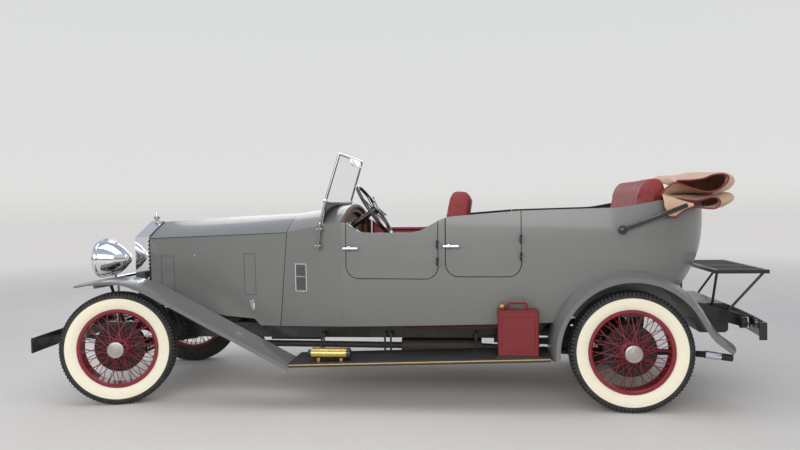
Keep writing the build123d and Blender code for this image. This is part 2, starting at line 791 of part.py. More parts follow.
def make_front_seat():
    """The bench: box, cushion and a leaning back."""
    base = block(2010, 2500, -540, 540, floor_top, 690)
    seat = cushion([(1960, 690), (1950, 840), (2440, 815), (2480, 690)], [10, 60, 10, 10], 560, 25)
    corners = [
        (2405, 700), (2400, 1330), (2446, 1530), (2574, 1524), (2600, 1475), (2570, 1330), (2556, 700)]
    back = cushion(corners, [10, 200, 45, 40, 40, 200, 10], 560, 40)
    return base + seat + back


def make_rear_seat():
    """The rear bench on the raised floor."""
    corners = [(2990, raised_floor), (2985, 940), (3600, 900), (3640, raised_floor)]
    seat = cushion(corners, [10, 70, 10, 10], 560, 30)
    back = cushion([(3600, 760), (3770, 1500), (3800, 1580), (3925, 1575), (3950, 1500), (3800, 760)],
                   [20, 60, 50, 50, 60, 20], 545, 45)
    return seat + back


hood_low = 1395.0


def make_folded_hood():
    """The soft top folded down: a bundle on the rear rail of the body, open in front for the seat."""
    outline = side_face(
        [(3862, hood_low), (3862, 1560), (3960, 1612), (4310, 1600), (4380, 1530), (4360, hood_low)],
        [20, 50, 60, 50, 40, 20])
    bundle = across(outline, -650, 650)
    bundle -= block(3800, 3975, -560, 560, 1300, 1700)
    return bundle - Pos(-fit_gap, 0, fit_gap) * body_limit


def make_hood_irons():
    """The folded sticks: a ball on each side of the body and a bar up to the bundle."""
    skin = belt_width(3606) - 10
    ball = Pos(at(3606), skin + 12, 1225) * Sphere(17)
    pin = rod((3606, skin - 30, 1225), (3606, skin + 12, 1225), 9)
    bar = rod((3606, skin + 14, 1225), (3970, 672, 1378), 8)
    upper = rod((3970, 672, 1378), (4000, 665, 1421), 8)
    iron = (ball + pin + bar + upper) - tub_outer
    return both_sides(iron)


# Windscreen
screen_half = 500.0
screen_foot = (1521.0, 1447.0)
screen_head = (1631.0, 1797.0)
screen_bar = 11.0
glass_thick = 6.0


def make_windscreen_frame():
    """The leaning frame with its two stanchions bolted to the scuttle."""
    foot_back, foot_z = screen_foot
    head_back, head_z = screen_head
    frame = rod((foot_back, -screen_half - 12, foot_z), (foot_back, screen_half + 12, foot_z), screen_bar)
    frame += rod((head_back, -screen_half, head_z), (head_back, screen_half, head_z), screen_bar)
    for side in (1, -1):
        y = side * screen_half
        frame += bent_rod(
            [(1480, side * 600, 1100), (1500, side * 598, 1300),
             (foot_back + 3, side * (screen_half + 12), 1455), (head_back, y, head_z)], 60, 10)
        frame += rod((1483, side * 540, 1130), (1483, side * 600, 1130), 12)
        frame += rod((1496, side * 540, 1250), (1496, side * 600, 1250), 12)
    return frame - scuttle_outer


def make_windscreen_glass():
    """The flat pane inside the frame."""
    rise = math.hypot(screen_head[0] - screen_foot[0], screen_head[1] - screen_foot[1])
    lean = math.degrees(math.atan2(screen_head[0] - screen_foot[0], screen_head[1] - screen_foot[1]))
    centre = Pos(at((screen_foot[0] + screen_head[0]) / 2), 0, (screen_foot[1] + screen_head[1]) / 2)
    return centre * Rot(0, -lean, 0) * Box(glass_thick, 2 * (screen_half - 12), rise - 2 * screen_bar)


# Steering column and wheel
column_y = 380.0
wheel_centre = (1865.0, 1380.0)
column_slope = 34.0
wheel_boss = 47.0  # from the plane of the wheel down to the foot of its boss
column_length = 905.0
steering_radius = 216.0
grip_radius = 13.0


def column_point(distance):
    """A point down the steering column from the wheel's centre, as (back, y, z)."""
    a = math.radians(column_slope)
    return (wheel_centre[0] - distance * math.cos(a), column_y, wheel_centre[1] - distance * math.sin(a))


def column_tube():
    """The tube of the column, from under the wheel's boss to the steering box."""
    return rod(column_point(wheel_boss + fit_gap), column_point(column_length), 22)


def make_steering_column():
    """The column tube and the steering box on the rail."""
    tube = column_tube()
    end = column_point(column_length)
    box = block(end[0] - 60, end[0] + 60, 355, 405, frame_top, end[2] + 40)
    return tube + box


def make_steering_wheel():
    """Rim, four spokes and boss, tilted to the column."""
    rim = Torus(steering_radius, grip_radius)
    wheel = rim + Cylinder(34, 40)
    for place in range(4):
        wheel += Rot(0, 0, 45 + 90 * place) * Pos(steering_radius / 2, 0, 0) * Box(steering_radius, 22, 8)
    wheel += Pos(0, 0, -32) * Cylinder(20, 30)
    place = Pos(at(wheel_centre[0]), column_y, wheel_centre[1]) * Rot(0, -(90 - column_slope), 0)
    return place * wheel


# Lamps, bumpers, rack and the pieces carried outside
lamp_y = 420.0
lamp_z = 1034.0
lamp_front = -288.0
lamp_radius = 142.0
lamp_length = 256.0


def lamp_body():
    """One lamp, its glass forward, at its place on the left."""
    outline = [
        ThreePointArc((0, 0), (6, lamp_radius / 2), (18, lamp_radius - 6)),
        Line((18, lamp_radius - 6), (18, lamp_radius)), Line((18, lamp_radius), (40, lamp_radius)),
        ThreePointArc((40, lamp_radius), (146, 116), (226, 50)),
        ThreePointArc((226, 50), (246, 31), (lamp_length, 9)), Line((lamp_length, 9), (lamp_length, 0)),
        Line((lamp_length, 0), (0, 0)),
    ]
    lamp = revolve(make_face(outline), axis=Axis.X)
    return Pos(at(lamp_front), lamp_y, lamp_z) * Rot(0, 0, 180) * lamp


def make_lamps():
    """Both lamps, the bar between them and the posts that stand on the rails."""
    lamp = lamp_body()
    bar_back, bar_z = -170.0, 885.0
    lamps = lamp + other_side(lamp)
    lamps += rod((bar_back, -lamp_y - 30, bar_z), (bar_back, lamp_y + 30, bar_z), 13)
    for side in (1, -1):
        lamps += rod((bar_back, side * lamp_y, bar_z), (bar_back, side * lamp_y, lamp_z - 60), 16)
        lamps += rod((bar_back, side * spring_y, frame_top), (bar_back, side * spring_y, bar_z), 14)
    return lamps


bumper_half = 800.0
bumper_sheet = 12.0


def blade(end_back, centre_back, low, high, direction):
    """A bowed bumper blade; direction is 1 when its face looks rearwards."""
    outer = ThreePointArc((at(end_back), -bumper_half), (at(centre_back), 0), (at(end_back), bumper_half))
    shift = bumper_sheet * direction
    inner = ThreePointArc(
        (at(end_back - shift), -bumper_half), (at(centre_back - shift), 0),
        (at(end_back - shift), bumper_half))
    caps = [
        Line((at(end_back), bumper_half), (at(end_back - shift), bumper_half)),
        Line((at(end_back), -bumper_half), (at(end_back - shift), -bumper_half)),
    ]
    return Pos(0, 0, low) * extrude(make_face([outer, inner, *caps]), amount=high - low)


def make_front_bumper():
    """The front blade on two arms from the dumb irons."""
    bumper = blade(-625, -front_overhang, 374, 484, -1)
    for side in (1, -1):
        bumper += block(-470, -648, side * (spring_y - 18), side * (spring_y + 18), 434, 470)
    return bumper


def make_rear_bumper():
    """The rear blade on two arms from the frame horns."""
    bumper = blade(4492, 4540, 500, 615, 1)
    for side in (1, -1):
        bumper += block(4480, 4525, side * (spring_y - 18), side * (spring_y + 18), 535, 590)
        bumper += block(4446, 4490, side * (bumper_half - bumper_sheet), side * bumper_half, 500, 615)
    return bumper


rack_front = 4284.0
rack_half = 450.0
rack_top = 926.0
rack_slats = 7


def make_rack():
    """A flat grid of bars with struts down to the frame horns."""
    rear = wheelbase + rear_overhang
    rack = None
    for y in (-rack_half, rack_half - 24):
        bar = block(rack_front, rear, y, y + 24, rack_top - 26, rack_top)
        rack = bar if rack is None else rack + bar
    for back in (rack_front, rear - 24):
        rack += block(back, back + 24, -rack_half, rack_half, rack_top - 26, rack_top)
    for place in range(rack_slats):
        y = -rack_half + 2 * rack_half * (place + 1) / (rack_slats + 1)
        rack += block(rack_front, rear, y - 15, y + 15, rack_top - 10, rack_top)
    for side in (1, -1):
        foot_y = side * spring_y
        rack += rod((rack_front + 14, side * 437, rack_top - 13), (4280, foot_y, 664), 9)
        rack += rod((rear - 30, side * 437, rack_top - 13), (4390, foot_y, 630), 9)
    cut = across(side_face(frame_side), frame_inner - 1, frame_outer + 1)
    return rack - cut - other_side(cut)


def make_tank():
    """The fuel tank between the frame horns."""
    outline = side_face([(4150, 610), (4150, 680), (4400, 680), (4400, 470), (4190, 470)], 30.0)
    return across(outline, -frame_inner, frame_inner)


def board():
    """The left running board, which climbs a little to the rear."""
    high = board_height(board_back)
    outline = side_face([
        (board_front, board_low), (board_back, high - board_thick), (board_back, high),
        (board_front, board_low + board_thick)])
    return across(outline, 470, 850)


def make_boards():
    """The running boards."""
    return both_sides(board())


# Irons of the running boards: behind the front axle, width of the strap
board_irons = ((1470.0, 12.0), (1488.0, 12.0), (1944.0, 14.0), (1988.0, 14.0), (2609.0, 18.0))


def make_board_irons():
    """Straps that stand out from the rails and drop to the boards."""
    straps = []
    for back, width in board_irons:
        near, far = back - width / 2, back + width / 2
        arm = block(near, far, frame_outer, 492, 468, 480)
        strap = arm + block(near, far, 480, 492, board_low, 480)
        strap -= board() + block(near - 1, far + 1, 400, 500, 200, board_height(near))
        straps += strap.solids()
    return Compound([*straps, *[other_side(strap) for strap in straps]])


can_front, can_back = 2757.0, 3030.0
can_inner, can_outer = 714.0, 842.0
can_height = 304.0


def make_can():
    """The flat fuel can on its tray, with a screw cap and a bail handle."""
    low = board_height(can_back + 14) + 9
    tray = block(can_front - 14, can_back + 14, can_inner - 12, can_outer + 8, low - 30, low) - board()
    can = block(can_front, can_back, can_inner, can_outer, low, low + can_height)
    can = fillet(can.edges().filter_by(Axis.Z), 14)
    top = low + can_height
    middle = (can_inner + can_outer) / 2
    cap = Pos(at(can_front + 34), middle, top + 14) * Cylinder(22, 28)
    handle = bent_rod(
        [(can_front + 68, middle, top - 4), (can_front + 75, middle, top + 46),
         (can_back - 78, middle, top + 46), (can_back - 70, middle, top - 4)], 16, 7)
    return tray + can + cap + handle


def make_extinguisher():
    """The brass extinguisher lying in two clips on the left running board."""
    centre_z = 390.0
    body = rod((1470, 790, centre_z), (1722, 790, centre_z), 38)
    body += rod((1452, 790, centre_z), (1470, 790, centre_z), 24)
    body += rod((1722, 790, centre_z), (1744, 790, centre_z), 30)
    for back in (1520, 1680):
        body += block(back - 10, back + 10, 765, 815, board_low, centre_z)
    return body - board() - block(1400, 1800, 700, 849, 200, board_low + board_thick)


def make_tail_lamps():
    """Two round lamps on stalks from the frame horns."""
    lamp = rod((4440, 470, 560), (4490, 470, 560), 38)
    stalk = rod((4460, frame_outer, 560), (4460, 470, 560), 9)
    return both_sides(lamp + stalk)


def write(name, shape):
    """Write one node."""
    export_step(shape, f"parts/{name}.step")


def write_all():
    """Build every node and write it."""
    os.makedirs("parts", exist_ok=True)
    write("chassis_frame", make_frame())
    write("front_axle", make_front_axle())
    write("rear_axle", make_rear_axle())
    write("front_springs", make_front_springs())
    write("rear_springs", make_rear_springs())
    write("engine_block", make_engine())
    write("driveline", make_driveline())
    write("exhaust", make_exhaust())
    write("fuel_tank", make_tank())
    write("radiator_shell", make_radiator_shell())
    write("radiator_core", make_radiator_core())
    write("scuttle", make_scuttle())
    write("body_tub", make_tub())
    write("body_floor", make_floor())
    write("dashboard", make_dashboard())
    write("front_wings", both_sides(make_front_wing()))
    write("rear_wings", both_sides(make_rear_wing()))
    write("running_boards", make_boards())
    write("board_irons", make_board_irons())
    write("headlamps", make_lamps())
    write("front_bumper", make_front_bumper())
    write("rear_bumper", make_rear_bumper())
    write("luggage_rack", make_rack())
    write("windscreen_frame", make_windscreen_frame())
    write("windscreen_glass", make_windscreen_glass())
    write("front_seat", make_front_seat())
    write("rear_seat", make_rear_seat())
    write("folded_hood", make_folded_hood())
    write("hood_irons", make_hood_irons())
    write("fuel_can", make_can())
    write("extinguisher", make_extinguisher())
    write("tail_lamps", make_tail_lamps())
    write("steering_column", make_steering_column())
    write("steering_wheel", make_steering_wheel())
    bonnet = make_bonnet_left()
    write("bonnet_left", bonnet)
    write("bonnet_right", other_side(bonnet))
    for door, panel in make_doors().items():
        write(f"door_{door}_left", panel)
        write(f"door_{door}_right", other_side(panel))
    write("knuckle_left", steer_left() * knuckle_straight(1))
    write("knuckle_right", steer_right() * knuckle_straight(-1))
    write("track_rod", make_track_rod())
    tyre = make_tyre()
    wheel = make_wire_wheel()
    offset = track / 2 - kingpin_y
    places = {
        "front_left": (steer_left() * Pos(0, offset, 0), False),
        "front_right": (steer_right() * Pos(0, -offset, 0), True),
        "rear_left": (Pos(at(wheelbase), track / 2, tyre_radius), False),
        "rear_right": (Pos(at(wheelbase), -track / 2, tyre_radius), True),
    }
    for name, (place, right) in places.items():
        write(f"tyre_{name}", place * tyre)
        write(f"wheel_{name}", place * Rot(0, 0, 180) * wheel if right else place * wheel)


write_all()
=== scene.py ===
import math

import bmesh
import bpy
from mathutils import Matrix, Vector
from mathutils.bvhtree import BVHTree
from mathutils.geometry import interpolate_bezier


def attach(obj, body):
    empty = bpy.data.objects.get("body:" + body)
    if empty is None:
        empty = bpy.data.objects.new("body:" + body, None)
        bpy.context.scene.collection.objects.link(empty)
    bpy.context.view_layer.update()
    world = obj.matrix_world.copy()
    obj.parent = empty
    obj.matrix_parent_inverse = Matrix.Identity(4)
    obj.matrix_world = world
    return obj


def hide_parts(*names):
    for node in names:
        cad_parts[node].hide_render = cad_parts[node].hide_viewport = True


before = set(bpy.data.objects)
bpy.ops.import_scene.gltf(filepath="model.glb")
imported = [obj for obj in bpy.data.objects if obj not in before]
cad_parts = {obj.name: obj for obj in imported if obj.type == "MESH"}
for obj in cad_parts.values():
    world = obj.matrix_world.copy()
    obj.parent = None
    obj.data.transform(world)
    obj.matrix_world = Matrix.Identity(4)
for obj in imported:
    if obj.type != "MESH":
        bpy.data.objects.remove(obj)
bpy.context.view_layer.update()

# Viewpoint. The eye stands five and a half metres off the car's left side, a little behind its
# middle and at head height, and looks square across it with a slight lean.
yaw, pitch, lean = (math.radians(angle) for angle in (-6.42, -1.58, -0.9))
ahead = Vector((-math.sin(yaw) * math.cos(pitch), -math.cos(yaw) * math.cos(pitch), math.sin(pitch)))
level_right = ahead.cross(Vector((0, 0, 1))).normalized()
level_up = level_right.cross(ahead)
eye_right = level_right * math.cos(lean) + level_up * math.sin(lean)
eye_up = level_up * math.cos(lean) - level_right * math.sin(lean)
link = bpy.context.scene.collection.objects.link
eye = bpy.data.objects.new("eye", bpy.data.cameras.new("eye"))
eye.data.lens, eye.data.sensor_width = 31.5, 36.0
stand = Matrix((eye_right, eye_up, -ahead)).transposed().to_4x4()
stand.translation = (-0.649, 5.559, 1.411)
eye.matrix_world = stand
link(eye)
bpy.context.scene.camera = eye
bpy.context.scene.view_settings.view_transform = "Standard"


# Studio. A pale floor that runs out to a pale horizon, a soft sky that polished metal can mirror,
# a wide lamp overhead, a strong one on the near side and a weak one on the far side.
class Wire:
    """One output of a shader node, which can take part in sums."""

    def __init__(self, finish, socket):
        self.finish, self.socket = finish, socket

    def maths(self, operation, *values):
        return self.finish.node("ShaderNodeMath", {"operation": operation}, *values)

    def __add__(self, other):
        return self.maths("ADD", self, other)

    def __sub__(self, other):
        return self.maths("SUBTRACT", self, other)

    def __rsub__(self, other):
        return self.maths("SUBTRACT", other, self)

    def __mul__(self, other):
        return self.maths("MULTIPLY", self, other)

    def between(self, low, high):
        """Nought below low, one above high, and a ramp between them."""
        return self.finish.node("ShaderNodeMapRange", {"clamp": True}, self, low, high, 0.0, 1.0)

    def wave(self, pitch):
        """A sine of this pitch, from nought to one."""
        return self.maths("SINE", self * (2 * math.pi / pitch)) * 0.5 + 0.5


class Finish:
    """A surface finish under construction, on a material or on the sky."""

    def __init__(self, holder, shader="Principled BSDF"):
        holder.use_nodes = True
        self.material, self.tree = holder, holder.node_tree
        self.shader = self.tree.nodes[shader]
        self.relief = None

    def node(self, kind, settings, *values, out=0):
        made = self.tree.nodes.new(kind)
        for name, value in settings.items():
            if name == "stops":
                while len(made.color_ramp.elements) < len(value):
                    made.color_ramp.elements.new(0.5)
                for element, (place, colour) in zip(made.color_ramp.elements, value):
                    element.position, element.color = place, (*colour, 1.0)
            else:
                setattr(made, name, value)
        for socket, value in zip(made.inputs, values):
            self.feed(socket, value)
        return Wire(self, made.outputs[out])

    def feed(self, socket, value):
        if isinstance(value, Wire):
            self.tree.links.new(value.socket, socket)
        elif value is not None:
            narrow = isinstance(value, tuple) and socket.type == "RGBA" and len(value) == 3
            socket.default_value = (*value, 1.0) if narrow else value

    def place(self, centre=(0, 0, 0), turn=(0, 0, 0)):
        """The object's own coordinates, measured from a centre along axes that may be turned."""
        seen = self.node("ShaderNodeTexCoord", {}, out=3)
        return self.node("ShaderNodeMapping", {"vector_type": "TEXTURE"}, seen, centre, turn)

    def axes(self, vector):
        split = self.node("ShaderNodeSeparateXYZ", {}, vector)
        return [Wire(self, output) for output in split.socket.node.outputs]

    def measure(self, axis):
        """One of the object's own coordinates, X, Y or Z."""
        return self.axes(self.place())["XYZ".index(axis)]

    def facing(self):
        """The surface's outward direction, as three numbers."""
        return self.axes(self.node("ShaderNodeNewGeometry", {}, out=1))

    def noise(self, scale, detail=3.0, stretch=None):
        """Clouds over the object, from nought to one; a larger scale makes them smaller."""
        seen = self.node("ShaderNodeTexCoord", {}, out=3)
        if stretch:
            seen = self.node("ShaderNodeMapping", {}, seen, None, None, stretch)
        roughness = 0.55
        return self.node("ShaderNodeTexNoise", {}, seen, None, scale, detail, roughness)

    def mix(self, share, first, second):
        return self.node("ShaderNodeMix", {"data_type": "RGBA"}, share, *[None] * 5, first, second, out=2)

    def bump(self, height, depth, strength=1.0):
        """Adds relief of this depth in metres, over any relief there is."""
        made = self.tree.nodes.new("ShaderNodeBump")
        made.inputs["Strength"].default_value = strength
        made.inputs["Distance"].default_value = depth
        self.tree.links.new(height.socket, made.inputs["Height"])
        if self.relief:
            self.tree.links.new(self.relief, made.inputs["Normal"])
        self.relief = made.outputs["Normal"]
        self.tree.links.new(self.relief, self.shader.inputs["Normal"])

    def grain(self, scale, depth, strength=1.0, detail=3.0):
        self.bump(self.noise(scale, detail), depth, strength)

    def look(self, **values):
        for name, value in values.items():
            self.feed(self.shader.inputs[name.replace("_", " ")], value)


def finish(name):
    """A new finish with a name of its own."""
    return Finish(bpy.data.materials.new(name))


sky = Finish(bpy.data.worlds.new("sky"), "Background")
bpy.context.scene.world = sky.material
north, sky_height = sky.axes(sky.node("ShaderNodeTexCoord", {}, out=0))[1:]
sky_colour = sky.node(
    "ShaderNodeValToRGB",
    {"stops": ((0.0, (0.42, 0.4, 0.37)), (0.48, (0.74, 0.73, 0.71)), (0.51, (0.86, 0.86, 0.85)),
               (0.66, (0.82, 0.83, 0.84)), (1.0, (0.34, 0.42, 0.6)))},
    sky_height * 0.5 + 0.5)
hedge = north.between(0.05, 0.3) * sky_height.between(-0.06, 0.0)
hedge = hedge * (1.0 - sky_height.between(0.1, 0.34))
sky.feed(sky.shader.inputs["Color"], sky.mix(hedge * 0.75, sky_colour, (0.2, 0.2, 0.19)))
sky.shader.inputs["Strength"].default_value = 0.86

ground = finish("pale_floor")
distance = ground.node("ShaderNodeVectorMath", {"operation": "LENGTH"}, ground.place(), out=1)
ground.look(
    Base_Color=ground.mix(ground.noise(1.3, detail=6.0), (0.7, 0.655, 0.59), (0.76, 0.715, 0.65)),
    Emission_Color=ground.mix(distance.between(5.0, 16.0), (0.0, 0.0, 0.0), (0.31, 0.29, 0.265)),
    Emission_Strength=1.0, Roughness=0.85)
ground.grain(160.0, 0.0006)
floor_shape = bmesh.new()
bmesh.ops.create_grid(floor_shape, x_segments=1, y_segments=1, size=60.0)
floor_mesh = bpy.data.meshes.new("floor")
floor_shape.to_mesh(floor_mesh)
floor_mesh.materials.append(ground.material)
floor = bpy.data.objects.new("floor", floor_mesh)
link(floor)

for lamp_name, place, aim, width, height, power in (
        ("overhead", (0.4, 1.4, 5.4), (0.0, 0.2, 0.6), 7.0, 3.2, 95.0),
        ("near_side", (0.8, 7.8, 3.4), (0.2, 0.0, 0.8), 9.0, 2.6, 300.0),
        ("far_side", (2.0, -6.0, 3.6), (0.0, 0.0, 0.9), 6.0, 2.4, 70.0)):
    lamp = bpy.data.objects.new(lamp_name, bpy.data.lights.new(lamp_name, "AREA"))
    lamp.data.shape, lamp.data.size, lamp.data.size_y, lamp.data.energy = "RECTANGLE", width, height, power
    lamp.location = place
    lamp.rotation_euler = (Vector(aim) - Vector(place)).to_track_quat("-Z", "Y").to_euler()
    link(lamp)


# Chassis. Pressed steel rails, axles, steering arms and the rack behind, all sprayed with black
# enamel that has picked up road dust below; the rails are held by rows of round rivets.
front_axle_x = 1.99


def along(back):
    """X of a place that lies this many millimetres behind the front axle."""
    return front_axle_x - back / 1000


def dress(nodes, coat):
    """Gives the named CAD nodes one finish."""
    for node in nodes.split():
        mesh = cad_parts[node].data
        mesh.materials.clear()
        mesh.materials.append(coat.material)


def at(back, y, z):
    """A point this many millimetres behind the front axle, with Y and Z in metres."""
    return Vector((along(back), y, z))


def install(name, mesh, coat, body):
    """Makes a smooth piece of a mesh, in one finish, and has it move with a body of the car."""
    mesh.polygons.foreach_set("use_smooth", [True] * len(mesh.polygons))
    mesh.materials.clear()
    mesh.materials.append(coat.material)
    piece = bpy.data.objects.new(name, mesh)
    link(piece)
    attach(piece, body)
    return piece


def settle(name, shape, coat, body="car", sharp=35.0):
    """Makes a piece of a finished shape, with its edges crisp where they turn by more than sharp."""
    bmesh.ops.recalc_face_normals(shape, faces=shape.faces)
    mesh = bpy.data.meshes.new(name)
    shape.to_mesh(mesh)
    shape.free()
    piece = install(name, mesh, coat, body)
    mesh.set_sharp_from_angle(angle=math.radians(sharp))
    return piece


chassis_black = finish("chassis_black_enamel")
dust = chassis_black.noise(9.0, detail=6.0)
low_down = 1.0 - chassis_black.measure("Z").between(0.25, 0.75)
chassis_black.look(
    Base_Color=chassis_black.mix(dust.between(0.45, 0.75) * (low_down * 0.5 + 0.12),
                                 (0.006, 0.006, 0.007), (0.055, 0.047, 0.038)),
    Roughness=dust * 0.35 + 0.22, Coat_Weight=0.3, Coat_Roughness=0.12)
chassis_black.grain(240.0, 0.0004, 0.5)
dress("chassis_frame front_axle rear_axle knuckle_left knuckle_right track_rod steering_column "
      "board_irons hood_irons luggage_rack fuel_tank tail_lamps", chassis_black)

rivets = bmesh.new()
rivet_squash = Matrix.Diagonal((1, 0.6, 1, 1))
for side in (1, -1):
    for step in range(22):
        for height in (0.449, 0.521):
            place = Matrix.Translation(at(120 + 130 * step, side * 0.405, height)) @ rivet_squash
            bmesh.ops.create_icosphere(rivets, subdivisions=2, radius=0.008, matrix=place)
rivets = settle("frame_rivets", rivets, chassis_black, sharp=80)

# Springs. Leaves of dark spring steel packed in four and five, bound by clips and held to the
# axles by pairs of U bolts.
def mottled(name, scale, first, second, grain=None, detail=3.0, **look):
    """A finish that wanders between two colours, over a grain of this scale and depth."""
    made = finish(name)
    made.look(Base_Color=made.mix(made.noise(scale, detail), first, second), **look)
    if grain:
        made.grain(*grain)
    return made


def facing_place(centre, axis):
    """A place whose own Z axis points along axis."""
    return Matrix.Translation(centre) @ Vector(axis).to_track_quat("Z", "Y").to_matrix().to_4x4()


def add_bar(shape, start, end, radius, sides=14, end_radius=None):
    """A straight round bar, or a taper, between two points."""
    start, end = Vector(start), Vector(end)
    bmesh.ops.create_cone(
        shape, cap_ends=True, segments=sides, radius1=radius, radius2=end_radius or radius,
        depth=(end - start).length, matrix=facing_place((start + end) / 2, end - start))


def add_slab(shape, middle, half, edge, turn=None):
    """A block of these half sizes round its middle, with softened edges, which may be turned."""
    place = Matrix.Translation(middle) @ (turn.to_4x4() if turn else Matrix.Identity(4))
    made = bmesh.ops.create_cube(shape, size=2.0, matrix=place @ Matrix.Diagonal((*half, 1.0)))
    edges = list({line for corner in made["verts"] for line in corner.link_edges})
    bmesh.ops.bevel(shape, geom=edges, offset=edge, segments=3, profile=0.5, affect="EDGES", material=-1)


leaf_steel = mottled("leaf_steel", 14.0, (0.02, 0.02, 0.02), (0.06, 0.052, 0.044), detail=5.0,
                     Metallic=0.6, Roughness=0.48)
leaf_steel.bump(leaf_steel.measure("Z").wave(0.0085), 0.0022)
dress("front_springs rear_springs", leaf_steel)
clips = bmesh.new()
for side in (1, -1):
    spring_y = side * 0.38
    for back, low, high in (
            (-330, 0.397, 0.428), (-235, 0.384, 0.424), (240, 0.384, 0.42), (350, 0.398, 0.428),
            (2900, 0.386, 0.424), (3060, 0.384, 0.43), (3420, 0.4, 0.452), (3520, 0.42, 0.464)):
        add_slab(clips, at(back, spring_y, (low + high) / 2), (0.014, 0.03, (high - low) / 2), 0.002)
    for back, low, high in ((-60, 0.3, 0.425), (60, 0.3, 0.425), (3590, 0.345, 0.48), (3700, 0.345, 0.48)):
        for y in (spring_y - 0.031, spring_y + 0.031):
            add_bar(clips, at(back, y, low), at(back, y, high), 0.006)
clips = settle("spring_clips", clips, chassis_black)

# Engine and gearbox. Sand-cast iron and crankcase metal, dark with old oil; only glimpses of
# them show under the bonnet and from below.
cast_metal = finish("cast_metal")
oil = cast_metal.noise(5.0, detail=6.0)
cast_metal.look(
    Base_Color=cast_metal.mix(oil, (0.03, 0.028, 0.026), (0.11, 0.105, 0.098)), Metallic=0.35,
    Roughness=0.75 - oil * 0.25)
cast_metal.grain(90.0, 0.0012, detail=4.0)
dress("engine_block driveline", cast_metal)

# Exhaust. A mild steel pipe browned by heat, which ends in a plated sleeve and a black tip.
pipe_steel = finish("exhaust_pipe")
heat = pipe_steel.noise(6.0, detail=6.0, stretch=(0.4, 1, 1))
pipe_steel.look(Base_Color=pipe_steel.mix(heat, (0.02, 0.017, 0.015), (0.06, 0.044, 0.034)), Metallic=0.4,
                Roughness=heat * 0.3 + 0.45)
pipe_steel.grain(120.0, 0.0005)
dress("exhaust", pipe_steel)

plating = finish("bright_plating")
plating.look(
    Base_Color=(0.8, 0.81, 0.83), Metallic=1.0, Roughness=plating.noise(22.0, detail=5.0) * 0.06 + 0.035)
plating.grain(3.0, 0.0016, 0.5, detail=1.0)
joint = at(4318, 0.44, 0.3144)
sleeve, tip = bmesh.new(), bmesh.new()
add_bar(sleeve, at(4212, 0.44, 0.3285), joint, 0.0275, 32)
add_bar(tip, joint, at(4397, 0.44, 0.304), 0.0252, 32)
settle("exhaust_sleeve", sleeve, plating)
settle("exhaust_tip", tip, chassis_black)

# Tyres. Black rubber with a cream wall let into the side, a grooved crown, and rows of shoulder
# blocks that give the toothed edge. One finish per tyre, so that its rings follow the axle.
steer = math.radians(13.0)
kingpin_y, rear_hub_y, rear_axle_x, hub_z = 0.654, 0.724, -1.655, 0.4075
stub = Vector((-math.sin(steer), math.cos(steer), 0)) * 0.07
wheels = {
    "front_left": (Vector((front_axle_x, kingpin_y, hub_z)) + stub, steer),
    "front_right": (Vector((front_axle_x, -kingpin_y, hub_z)) - stub, steer + math.pi),
    "rear_left": (Vector((rear_axle_x, rear_hub_y, hub_z)), 0.0),
    "rear_right": (Vector((rear_axle_x, -rear_hub_y, hub_z)), math.pi),
}


def wheel_finish(name, hub, turn):
    """A finish, with its distances across, outward and up from a hub, and out from the axle."""
    made = finish(name)
    across, outward, up = made.axes(made.place(tuple(hub), (0, 0, turn)))
    square = across * across + up * up
    return made, across, outward, up, square.maths("SQRT", square)


def add_copy(shape, part):
    """Adds another shape to this one."""
    spare = bpy.data.meshes.new("spare")
    part.to_mesh(spare)
    part.free()
    shape.from_mesh(spare)
    bpy.data.meshes.remove(spare)


block_count = 92
for corner, (hub, turn) in wheels.items():
    rubber, across, outward, up, reach = wheel_finish(f"tyre_rubber_{corner}", hub, turn)
    white = reach.between(0.2855, 0.287) * (1.0 - reach.between(0.364, 0.366))
    white = white * outward.between(0.04, 0.044)
    angle = up.maths("ARCTAN2", up, across) * float(block_count)
    shaded_notch = angle.maths("COSINE", angle).between(0.05, 0.25)
    shaded_notch = shaded_notch * reach.between(0.383, 0.385) * outward.between(0.036, 0.04)
    grime = rubber.noise(26.0, detail=5.0)
    black = rubber.mix(grime.between(0.4, 0.8), (0.028, 0.028, 0.027), (0.062, 0.058, 0.05))
    # The notches between the shoulder blocks are painted near-black as shade.
    black = rubber.mix(shaded_notch, black, (0.004, 0.004, 0.004))
    cream = rubber.mix(grime.between(0.5, 0.9) * 0.35, (0.93, 0.87, 0.68), (0.82, 0.74, 0.56))
    rubber.look(Base_Color=rubber.mix(white, black, cream), Roughness=0.78 - white * 0.22)
    groove = outward.wave(0.015) * reach.between(0.398, 0.4)
    rubber.bump(groove + reach.wave(0.01) * (1.0 - white) * 0.06, 0.0035)
    rubber.bump(reach.between(0.364, 0.3655) + (1.0 - reach.between(0.286, 0.2875)), 0.0012)
    rubber.bump(1.0 - shaded_notch, 0.004)
    dress(f"tyre_{corner}", rubber)

    blocks = bmesh.new()
    for side in (1, -1):
        block = bmesh.new()
        add_slab(block, (0.3966, side * 0.05325, 0), (0.0086, 0.00925, 0.0085), 0.0018)
        half_step = Matrix.Rotation(math.pi / block_count * (side > 0), 3, "Y")
        bmesh.ops.rotate(block, verts=block.verts, cent=(0, 0, 0), matrix=half_step)
        bmesh.ops.spin(block, geom=block.faces[:], cent=(0, 0, 0), axis=(0, 1, 0), dvec=(0, 0, 0),
                       angle=2 * math.pi * (block_count - 1) / block_count, steps=block_count - 1,
                       use_duplicate=True)
        add_copy(blocks, block)
    stand = Matrix.Translation(hub) @ Matrix.Rotation(turn, 4, "Z")
    bmesh.ops.transform(blocks, matrix=stand, verts=blocks.verts)
    blocks = settle(f"tread_{corner}", blocks, rubber, f"wheel_{corner}")

